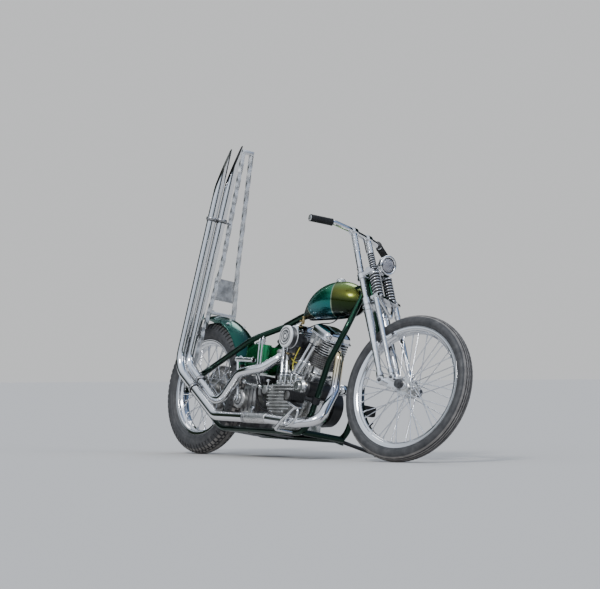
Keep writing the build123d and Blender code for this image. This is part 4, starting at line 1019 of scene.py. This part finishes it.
STAY_Z = 1158
for route, at in ((FRONT_ROUTE, (169, -196, 300)), (REAR_ROUTE, (144, -149, 346))):
    low, knee = route[-3:-1]
    way = (knee - low).normalized()
    at = low + way * (Vector(at) - low).dot(way)
    rolled_clamp(at, way)
    bands.bolt(at + Vector((8, -6, PIPE_RADIUS + 8)))
for *bends, knee, high in (FRONT_ROUTE, REAR_ROUTE):
    way = (high - knee).normalized()
    rolled_clamp(knee + way * ((STAY_Z - knee.z) / way.z), way)
bands.strap([(76, -173, STAY_Z), (88, -146, STAY_Z), (94, -126, STAY_Z)], 8, 5, 2)
bands.strap([(173, -149, 362), (150, -170, 350), (150, -172, 330), (171, -196, 322)], 8, 2, 1.5, LEFT)
for x, rise in ((662, 3.4), (648, 2.6), (1010, 2.4)):
    bands.spin(on_pipe((-1, -5), (rise - 1, -5), (rise, -4), (rise, 4), (rise - 1, 5), (-1, 5)),
               (x, -196, 165 - 9 * (x - 392) / 446), (1, 0, -0.02))
bands.done()
shades.done()
sleeve = Batch("pipe_sleeve", SLEEVE, sharp=60)
ripples = [(1.4 + 0.7 * (k % 2), 4 + 7 * k) for k in range(26)]
sleeve.spin(on_pipe((-0.5, 0), (1.4, 1), *ripples, (1.4, 184), (-0.5, 185)), (650, -196, 159.8),
            (1, 0, -0.0202), 48,
            caps=False)
sleeve.done()
ports = Batch("port_nuts", ALLOY)
for at, then, *rest in (FRONT_ROUTE, REAR_ROUTE):
    way = (then - at).normalized()
    ports.spin(on_pipe((0, -6), (9, -6), (11, -4), (11, 5), (8, 8), (0, 9)), at + way * 6, way, 36)
ports.done()

# Twisted square bars of the sissy bar, with the short bars between them
TWIST_LENGTH = 330
twisted = Batch("twisted_bars", TWIST, sharp=25)
for side in SIDES:
    corners = [(-32, 116.2, 316), (8, 116.2, 440), (18, 79.5, 664), (36, 47, 960), (50, 24, 1536)]
    path = resample(rounded([(x, side * y, z) for x, y, z in corners], [40, 120, 300], 4), 5)
    twists = [side * max(0, min(p.z, 1500) - 480) / TWIST_LENGTH * 360 for p in path]
    twisted.sweep(path, rounded_rect(9.6, 9.6, 1.6, 1), twists, AHEAD)
twisted.block((51, 0, 1530), UP, 34, 10, 3, 0, 19.5, x_dir=LEFT)
twisted.block((17, 0, 698), UP, 70, 9, 2, 0, 14, x_dir=LEFT)
for side in SIDES:
    twisted.bolt((20, side * 54, 712), UP, 7, 6)
    twisted.bolt((-37, side * 116, 342), -AHEAD, 7)
twisted.done(["sissy_bar"])


# Engine: domed rocker covers, finned heads and barrels, each held on its own side of the V
def in_cyl(way, height, outline, y=0):
    return [cyl(way, height, px, y + py) for px, py in outline]


def side_of(way, ring):
    """A ring cut off straight where the other cylinder begins."""
    c, s = ray(V_HALF * way)
    across = Vector((c, 0, -s)) * way / c
    limit = CRANK_X + 2.5 * way
    return [p + across * max(0, (limit - p.x) * way) for p in ring]


def fin(batch, way, height, thick, outline, bevel):
    batch.rings([side_of(way, in_cyl(way, height + rise, [(x * scale, y * scale) for x, y in outline]))
                 for rise, scale in ((0, 0.988), (bevel, 1), (thick - bevel, 1), (thick, 0.988))])


pans = Batch("rocker_pans", CHROME, sharp=30)
small = Batch("engine_screws", CHROME)
barrels = Batch("lower_barrels", BARREL, sharp=40)
iron = Batch("barrel_fins", IRON, sharp=30)
heads = Batch("finned_heads", CASE_BRIGHT, sharp=30)
# Near-black cores behind the fins of barrels and heads: painted shade between the fins.
painted_shade = Batch("fin_painted_shade", NEAR_BLACK_AND_SHADE, sharp=30)
FLANGE = [(331, 81.5, 80.5, 30), (332, 83, 82, 30), (336, 83, 82, 30), (337.4, 81.5, 80.5, 30)]
DOME = [(340, 76, 75, 30), (342, 75.5, 74.5, 30), (352, 75, 74, 30), (359, 74, 73, 29), (365, 71, 70, 28),
        (370, 67, 66, 26), (374, 61, 60, 24), (377, 53, 52, 22), (379, 43, 42, 20), (380, 28, 27, 16),
        (380.3, 8, 8, 8)]
STEP = [(337.4, 79, 78, 30), (340.6, 79, 78, 30), (341.4, 77, 76, 30)]
RIM_SCREWS = [(-79, -40), (-79, 0), (-79, 34), (-50, 71), (0, 71.5), (50, 71), (79, 34), (79, 0), (79, -40),
              (50, -82), (0, -82.5), (-50, -82)]
for way, route in zip(SIDES, (REAR_ROUTE, FRONT_ROUTE)):
    foot = cyl(way, 0)
    up_cylinder = (cyl(way, 100) - foot).normalized()
    for stack in (FLANGE, DOME, STEP):
        pans.rings([in_cyl(way, h, rounded_rect(a, b, c, 8), -6) for h, a, b, c in stack])
    for x, y in RIM_SCREWS:
        small.screw(cyl(way, 337, x, y), up_cylinder, 4.6, 4)
    barrels.solid(foot, up_cylinder, 56, (66, 147), (68, 149), (68, 156), (66, 158), (58, 160), (55, 164),
                  (55, 190))
    painted_shade.disc(foot, up_cylinder, 56, 60, 259, 188)
    for k in range(7):
        fin(iron, way, 191 + 9.6 * k, 3.8, circle(79 if k else 72, 64), 1.0)
    for c, s in map(ray, (-180, -135, -90, -45, 0)):
        barrels.bolt(cyl(way, 158, 61 * c, 61 * s), up_cylinder, 5.5, 7, washer=False)
    for c, s in map(ray, (45, 135, 225, 315)):
        barrels.bolt(cyl(way, 252, 66 * c, 66 * s), -up_cylinder, 6, 8)
    painted_shade.rings([side_of(way, in_cyl(way, h, rounded_rect(70, 58, 30, 8))) for h in (259, 331)])
    for k in range(6):
        fin(heads, way, 261 + 11.6 * k, 4.4, rounded_rect(84, 70, 40, 10), 1.2)
    heads.rings([in_cyl(way, h, rounded_rect(s, 18, 8), -72) for h, s in ((306, 36), (309, 38), (331, 38))])
    for x in (-18, 18):
        heads.solid(cyl(way, 0, x, -84), up_cylinder, 24, (13, 290), (14.5, 292), (14.5, 306))
    heads.spin(on_pipe((1, -48), (5, -48), (5, -1), (1, 0)), route[0], route[1] - route[0], 36, caps=False)
pans.done(["rocker_covers"])
barrels.done(["cylinders"])
painted_shade.done()
iron.done()
heads.done(["cylinder_heads"])

# Cam cover: rounded bright ribs over a darker face, the face's darker alloy a painted shade between the ribs
CHEST = [(-128, 50), (-104, 70), (64, 70), (88, 36), (72, -40), (0, -70), (-90, -70), (-128, -30)]


def chest_span(height):
    """The cover's first and last x at a height from the crank."""
    found = []
    for (ax, az), (bx, bz) in zip(CHEST, CHEST[1:] + CHEST[:1]):
        if (az - height) * (bz - height) <= 0 and az != bz:
            found.append(ax + (bx - ax) * (height - az) / (bz - az))
    return min(found), max(found)


# Painted shade: the face behind the ribs takes a darker alloy so the grooves between the ribs read dark.
chest = Batch("cam_face_groove_shade", CASE, sharp=30)
chest.slab((CRANK_X, -76, CRANK_Z), RIGHT, AHEAD, [(x, -z) for x, z in CHEST], 0, 61, 5)
chest.done()
ribs = Batch("cam_ribs", POLISHED, sharp=50)
section = [(4.6 * c, 8.6 * s) for c, s in map(ray, range(-10, 191, 20))]
for k in range(9):
    height = -64 + 15.6 * k
    low, high = chest_span(min(height, 69))
    ribs.sweep([(CRANK_X + x, y, CRANK_Z + height) for x, y in
                ((low + 1, -134), (low + 5, -135.4), (high - 5, -135.4), (high - 1, -134))], section, hint=UP)
ribs.slab((CRANK_X - 13, -77, CRANK_Z), RIGHT, AHEAD, [(x + 13, -z) for x, z in CHEST], 0, 9, 2)
cam_screws = Batch("cam_screws", CHROME)
for x, z in ((-118, 44), (-98, 62), (-20, 63), (58, 62), (79, 33), (66, -34), (2, -62), (-86, -62),
             (-119, -27)):
    cam_screws.solid((CRANK_X + x, -137, CRANK_Z + z), RIGHT, 14, (5.6, 0), (5.6, 5), (4.6, 6.4), (2.4, 6.4),
                     (2.2, 5))
cam_screws.done()

# Pushrod tubes with their feet, collars, clips and seals
tubes = Batch("pushrod_covers", CHROME, sharp=40)
seals = Batch("pushrod_seals", RUBBER)
for foot, way, offset in ((-82, -1, -18), (-44, -1, 18), (4, 1, -18), (42, 1, 18)):
    low = Vector((CRANK_X + foot, PUSHROD_Y, CRANK_Z + 112))
    for dx in (-10, 10):
        small.bolt(low + Vector((dx, -17, -28)), RIGHT, 4.2, 3)
    small.block(low - UP * 4, UP, 16, 18, 5, 0, 5, 1)
    ribs.block(low - UP * 46, UP, 15, 17, 5, 0, 44, 2)
    rise = cyl(way, HEAD_TOP - 34, offset, -84) - low
    up_tube, long = rise.normalized(), rise.length
    tubes.solid(low, up_tube, 28, (13.5, 0), (14, 1), (14, 7), (12.5, 9), (11.6, 10), (11.6, long * 0.40),
                (13, long * 0.405), (13, long * 0.43), (12, long * 0.44), (9.2, long * 0.45),
                (8.2, long * 0.46),
                (8.2, long - 10), (10.5, long - 9), (10.5, long))
    seals.disc(low, up_tube, 24, 12.6, 14, 10)
    seals.disc(low, up_tube, 24, 10, long - 9, long - 14)
    clip = [low + rise * share + Vector((x, y, 0))
            for share, x, y in ((0.46, 9, -3), (0.6, 10, -5), (0.72, 9, -3))]
    tubes.pipe(curve(*clip, per=5), 1.2, 6)
small.done()
ribs.done(["cam_cover"])
tubes.done(["pushrod_tubes"])
seals.done()

# Carburettor, air cleaner with pressed rings, fuel lines, wires and plugs
FILTER = (845, -128, 553)
cover = Batch("air_cleaner_cover", SATIN, sharp=40)
face = [(0, 41), (9, 41)]
for edge in (9, 18, 27, 36):
    face += [(edge, 41), (edge + 0.8, 38), (edge + 2.8, 37.4), (edge + 4.2, 40.6), (edge + 9, 41)]
cover.spin(face + [(48, 40.4), (50.6, 38.6), (52.4, 35), (52.8, 31), (51, 30), (0, 30)], FILTER, RIGHT, 72)
cover.solid(FILTER, RIGHT, 64, (50, 0), (52.6, 0.8), (53, 2), (52, 3.4))
cover.screw((845, -168.6, 553), RIGHT, 5, 3)
cover.done(["air_cleaner"])
# Painted shade: dark rings on the cover's face stand for the shade in its pressed grooves.
groove_shade = Batch("cover_groove_shade", CLAMP)
for edge in (13, 26, 39):
    groove_shade.spin([(edge - 2.6, 39), (edge - 2.4, 41.7), (edge + 2.4, 41.7), (edge + 2.6, 39)], FILTER, RIGHT,
                 64)
groove_shade.done()
element = Batch("filter_element", DARK_CAST)
element.spin([(0, 3)] + [(49 + 1.8 * (k % 2), 3.4 + k * 1.4) for k in range(20)] + [(0, 31)], FILTER, RIGHT,
             64)
element.done()
coil = Batch("coil_box", BLACK)
coil.rings([[Vector((632 + x * scale, y, 352 + z * scale)) for x, z in rounded_rect(46, 52, 12)]
            for y, scale in ((-16, 0.95), (-12, 1), (52, 1), (56, 0.95))])
for k in range(5):
    coil.block((600 + 16 * k, -16, 352), RIGHT, 3, 44, 2, 0, 4, 1, steps=2)
coil.done()
carb = Batch("carburettor_body", CARB_GREY)
carb.block((841, -103, 545), RIGHT, 30, 28, 12, -18, 20, 3)
carb.block((843, -103, 498), -UP, 27, 19, 14, -6, 16, 3)
carb.block((843, -103, 514), UP, 29, 21, 10, -3, 3, 1)
carb.solid((841, -118, 545), RIGHT, 32, (23, 0), (25, 2), (25, 8), (23, 10))
carb.solid((841, -84, 545), LEFT, 32, (24, 0), (24, 34), (27, 36), (27, 42))
carb.solid((841, -103, 573), UP, 24, (13, 0), (14, 2), (14, 14), (11, 18))
carb.solid((812, -103, 545), -AHEAD, 16, (7, 0), (7, 10), (5, 12))
carb.done()
trim = Batch("carburettor_trim", BRASS)
trim.spin([(0, 0), (6, 0), (6, 7), (4.4, 8), (4.4, 15), (6, 16), (6, 21), (0, 22)], (812, -103, 483), -AHEAD,
          6)
trim.solid((857, -122, 521), RIGHT, 12, (3.2, 0), (3.2, 12), (5, 13), (5, 17))
for x, z in ((826, 521), (826, 566), (857, 566)):
    trim.screw((x, -123, z), RIGHT, 3.6, 2.4)
trim.bolt((843, -103, 482), -UP, 8, 7)
trim.done()
wires = Batch("plug_wires", YELLOW)
wires.pipe(curve((891, -106, 510), (876, -112, 471), (860, -112, 428), (870, -108, 380), (872, -96, 340)),
           2.8, 10)
wires.pipe(curve((800, -84, 462), (826, -84, 447), (850, -84, 440), (884, -84, 436), (904, -70, 448)), 2.8,
           10)
wires.done()
hose = Batch("fuel_hose", RUBBER)
hose.pipe(curve((790, -103, 483), (770, -98, 492), (764, -80, 540), (776, -52, 600), (786, -30, 660)), 4.6)
hose.pipe(curve((841, -60, 592), (870, -56, 612), (930, -40, 632), (1020, -30, 640), (1098, -26, 690)), 2.8,
          8)
hose.done()
plugs = Batch("spark_plugs", PORCELAIN)
bases = Batch("plug_bases", STEEL)
for way in SIDES:
    seat = cyl(way, 300, 30 * way, -HEAD_HALF_Y - 2)
    out = Vector((0.0, -0.9, 0.35))
    bases.disc(seat, out, 6, 10, 0, -10)
    bases.disc(seat, out, 16, 7, 6)
    bases.spin([(0, 25), (3, 25), (3, 30), (0, 31)], seat, out, 12)
    plugs.solid(seat, out, 16, (5.6, 4), (5.8, 12), (4.8, 13), (5.4, 15), (4.4, 17), (4.8, 20), (3.6, 26))
plugs.done()
bases.done()

# Generator, timer and cam nose
GENERATOR = Vector((985, -106, 312))
gen = Batch("generator_parts", BLACK)
gen.spin([(0, -3), (40, -3), (41, -2), (41, 6), (40, 8), (36, 12), (26, 16), (0, 17)], GENERATOR, RIGHT, 48)
for y in (66, 126):
    gen.spin([(40.6, 0), (42, 0.5), (42, 9), (40.6, 9.5)], GENERATOR + LEFT * y, RIGHT, 48)
gen.done()
bright = Batch("bright_fittings", CHROME, sharp=40)
for degrees in (35, 215):
    bright.bolt(around(GENERATOR, 26, degrees, -14), RIGHT, 5.5)
bright.solid(GENERATOR + RIGHT * 15, RIGHT, 20, (9, 0), (9, 5), (5, 7), (5, 14))
bright.spin([(0, 0), (22, 0), (23, 1.5), (23, 20), (20, 26), (12, 29), (0, 30)], (942, -76, 316), RIGHT, 36)
bright.solid((1032, 84, 333), RIGHT, 36, (24, 0), (26, 3), (26, 34), (24, 38), (15, 40))
bright.solid((1032, 44, 333), RIGHT, 24, (12, 0), (12, 8), (10, 10))
bright.done()

# Gearbox: end cover, lid, mounting plate, clutch arm, sprung rod, filler and hoses, with a painted shadow
# ring on the end cover and a dark block of painted shade under the box
box = Batch("gearbox_parts", ALLOY)
END = Vector((439, -98, 264))
box.solid(END, RIGHT, 56, (44, 0), (45, 1.5), (45, 7), (42, 10), (34, 13), (20, 14))
for k in range(8):
    box.bolt(around(END, 38, 45 * k + 12, -10), RIGHT, 4.6, 4)
box.block((485, -70, 262), RIGHT, 60, 66, 24, 0, 9, 2)
for x, z in ((-50, -50), (0, -58), (50, -50), (52, 0), (50, 50), (0, 58)):
    box.bolt((485 + x, -79, 262 + z), RIGHT, 5, 4)
box.solid((656, -84, 306), RIGHT, 32, (20, 0), (21, 1.5), (21, 26), (18, 30), (8, 31))
box.pipe([(656, -60, 306), (656, -92, 306)], 14, 14)
box.block((620, -88, 300), RIGHT, 44, 16, 10, -6, 6, 2)
box.done()
dark_parts_and_shade = Batch("gearbox_dark_parts_and_shade", DARK_CAST)
# Painted shadow: the dark ring in the end cover's groove.
dark_parts_and_shade.spin([(24, 13.4), (25, 14.8), (30, 14.2), (31, 13)], END, RIGHT, 48)
dark_parts_and_shade.block((500, -30, 348), UP, 78, 46, 14, 0, 34, 3)
dark_parts_and_shade.block((545, -20, 104), UP, 165, 84, 20, 0, 7, 2)
# Painted shade: a dark block filling the space under the gearbox.
dark_parts_and_shade.block((540, -14, 110), UP, 140, 52, 26, 0, 100, 4)
dark_parts_and_shade.pipe([(470, -62, 356), (560, -62, 372)], 5, 14)
for k in range(4):
    dark_parts_and_shade.block((452 + 32 * k, -77, 262), RIGHT, 3, 56, 2, 0, 5, 1, steps=2)
dark_parts_and_shade.done()
rods = Batch("control_rods", CHROME)
rods.pipe([(508, -112, 337), (613, -112, 322)], 4.2, 10)
rods.spin(both_ways([(11, 0), (10, 4), (6, 9), (0, 11)]), (474, -110, 346), RIGHT, 20)
rods.pipe([(474, -110, 346), (512, -112, 336)], 4.6, 10)
rods.solid((607, -104, 323), RIGHT, 20, (8, 0), (9, 1.5), (9, 12), (7, 14))
rods.strap([(607, -108, 323), (634, -108, 316), (656, -110, 308)], 8, 3, 2)
rods.spin([(0, 0), (9, 0), (11, 3), (11, 9), (8, 12), (0, 13)], (669, -104, 346), (0.1, -0.2, 1), 24)
rods.pipe([(662, -100, 318), (668, -103, 346)], 4.5, 10)
rods.bolt((556, -98, 221), RIGHT, 10, 9)
rods.strap([(556, -104, 221), (562, -106, 203), (567, -108, 189)], 7, 2.6, 2, AHEAD)
rods.bolt((567, -110, 189), RIGHT, 5.5)
rods.spin([(0, 0), (17, 0), (18, 2), (18, 12), (15, 16), (0, 17)], (439, -112, 264), RIGHT, 30)
rods.done()
lines = Batch("oil_hoses", RUBBER)
lines.pipe(curve((560, -66, 370), (596, -92, 330), (640, -106, 276), (685, -112, 248), (718, -104, 236),
                 (742, -84, 232)), 6.5)
lines.pipe(curve((536, -66, 350), (560, -90, 296), (600, -98, 246), (660, -102, 214), (730, -88, 206)), 5)
lines.done()

# Kick starter's sleeve, the brake pedal's loop with its pad, and the ribbed footpegs
kick = Batch("kick_pedal_cover", CHROME)
kick.solid((384, -112, 456), (146, 0, -5), 20, (11, 0), (13, 1.5), (13, 6), (12, 7.5), (12, 138), (14, 139.5),
           (14, 144), (12.5, 146))
kick.done()
pedal = Batch("brake_loop", CHROME)
pedal.pipe(rounded([(1069, -224, 202), (1116, -224, 206), (1096, -224, 150), (1046, -224, 118),
                    (1004, -224, 134),
                    (1040, -224, 176)], [16, 30, 30, 22], 8), 5.5)
pedal.block((1080, -226, 216), (0.4, 0, 1), 34, 22, 8, -2, 6, 2, (1, 0, -0.4))
pedal.done()
pad = Batch("brake_pad", RUBBER)
for k in range(5):
    pad.block((1052 + 14 * k, -226, 234 - 5.6 * k), (0.4, 0, 1), 20, 4, 2, -6, 3, 1, LEFT, 2)
pad.done()
pegs = Batch("peg_rubbers", RUBBER)
caps = Batch("peg_caps", STEEL)
PEG_START, PEG_END, PEG_RIBS = 168, 250, 8
for side in SIDES:
    out = LEFT * side
    rings = []
    for k in range(PEG_RIBS + 1):
        for scale, at in ((0.93, 0), (1, 1.6), (1, 7.2), (0.93, 8.8)):
            y = PEG_START + (PEG_END - PEG_START) * k / PEG_RIBS + at
            if y <= PEG_END:
                rings.append([Vector((1044 + px * scale, side * y, 260 + pz * scale))
                              for px, pz in rounded_rect(27, 24, 9)])
    pegs.rings(rings)
    caps.solid((1044, side * 248, 260), out, 28, (20, 0), (20.5, 1), (20.5, 2.6), (18, 3.4))
    caps.solid((1044, side * 158, 260), out, 20, (12, 0), (13, 1.5), (13, 10), (10, 12))
pegs.done()
caps.done()

# Bright casting between the cam chest and the generator, and the flat block on the front barrel
nose = Batch("case_nose", CASE_BRIGHT)
nose.block((966, -122, 318), RIGHT, 44, 34, 28, -14, 20, 9)
nose.block((962, -142, 320), RIGHT, 20, 17, 14, 0, 6, 3)
block_at = cyl(1, 150, -6, -72)
block_up = (cyl(1, 200, -6, -72) - block_at).normalized()
nose.block(block_at, RIGHT, 52, 36, 16, -12, 14, 5, block_up)
nose.done()
block_plugs = Batch("block_plugs", NEAR_BLACK_AND_SHADE)
for rise in (-30, 0, 30):
    block_plugs.disc(block_at + block_up * rise + RIGHT * 13.6, RIGHT, 18, 5, 1.2)
block_plugs.done()

# Tank and oil tank trim: domed caps, petcock and return fittings
cap = Batch("domed_cap", CHROME, sharp=60)
cap.spin([(0, -2), (22, -2), (23, -1), (23, 1.5), (21, 3), (20.4, 3.6), (20.4, 8)]
         + [(20 * c, 8 + 9 * s) for c, s in map(ray, (10, 25, 40, 55, 70, 82))] + [(0, 17)], (1000, 0, 838),
         UP, 56)
for x, y in circle(20, 20):
    cap.spin([(0, 0), (2.4, 0), (2.4, 6), (0, 7)], (1000 + x, y, 840), UP, 8)
cap.done(["fuel_cap"])
tap = Batch("petcock", BRASS)
tap.solid((786, -34, 672), -UP, 20, (9, 0), (9, 5), (6, 7), (6, 20), (8, 22), (8, 34), (5, 38))
tap.spin([(0, -14), (4, -13), (4, 13), (0, 14)], (786, -40, 648), RIGHT, 12)
tap.done()
oil = Batch("oil_tank_trim", CHROME, sharp=50)
oil.spin([(0, 0), (24, 0), (25, 1.5), (25, 8), (23, 10), (17, 13), (8, 15), (0, 15.4)], (470, -44, 536), UP,
         40)
for x, y in ((502, -66), (526, -62)):
    oil.solid((x, y, 536), UP, 6, (7.5, 0), (7.5, 7), (6, 8), (6, 13))
    oil.spin([(0, 0), (6.4, 0), (7, 1), (7, 5), (0, 6)], (x, y, 549), UP, 18)
oil.done()

# Rear fender: rolled beads along its edges, and bolts
bead = Batch("fender_bead", FENDER_GREEN, sharp=60)
fender_bolts = Batch("fender_bolts", CHROME)
for side in SIDES:
    bead.pipe([around(REAR_CENTRE, REAR_RADIUS + 10, 105.5 - 87 * k / 59, side * 66.5) for k in range(60)],
              2.6, 8)
for degrees in (100, 62, 24):
    c, s = ray(degrees)
    for side in SIDES:
        fender_bolts.bolt((354 * c, side * 50, REAR_RADIUS + 357 * s), (c, side * 0.5, s))
bead.done()
fender_bolts.done()

# Plate, blank, in its frame with the lamp above
plate_parts = Batch("plate_frame", CHROME)
for y in (-61, 61):
    plate_parts.pipe([(12, y, 776), (12, y, 881)], 2.6, 10)
for z in (776, 881):
    plate_parts.pipe([(12, -61, z), (12, 61, z)], 2.6, 10)
plate_parts.spin([(30, -4), (33, -3), (33, 3), (30, 4), (28, 3), (28, -3)], (-12, 0, 850), AHEAD)
plate_parts.done()
tail = Batch("tail_lamp", LAMP_RED, sharp=60)
tail.spin([(28, 0)] + [(28 * c, 10 * s) for c, s in map(ray, (15, 30, 45, 60, 75, 85))] + [(0, 10)],
          (-14, 0, 850),
          -AHEAD)
tail.done()
paper = Batch("blank_plate", PLATE)
paper.block((13, 0, 802), -AHEAD, 56, 24, 5, 0, 2.4, 0.8, LEFT)
paper.done()

# Axle fittings, motor mounts and the primary cover's rounds and screws
mounts = Batch("frame_fittings", STEEL)
for side in SIDES:
    mounts.pipe([(-46, side * 102, 332), (-66, side * 102, 332)], 4, 10)
    mounts.bolt((-60, side * 102, 332), -AHEAD, 8, 6)
    mounts.acorn((0, side * 118, REAR_RADIUS), LEFT * side, 12, 16)
for x in (900, 960):
    for side in SIDES:
        mounts.bolt((x, side * 36, 122), UP, 7, 6)
mounts.done()
covers = Batch("primary_trim", BLACK)
screws = Batch("primary_screws", CHROME)
spots = [around((505, 150, 262), 94, degrees) for degrees in (100, 140, 180, 220, 260)]
spots += [around((855, 150, 262), 78, degrees) for degrees in (-80, -40, 0, 40, 80)]
spots += [(620, 150, 353), (740, 150, 347), (620, 150, 171), (740, 150, 177)]
for spot in spots:
    screws.bolt(spot, LEFT, 5.5, 4)
for x, radius in ((855, 58), (505, 74)):
    covers.slab((x, 150, 262), LEFT, AHEAD, circle(radius, 48), -2, 6, 3)
screws.done()
covers.done()
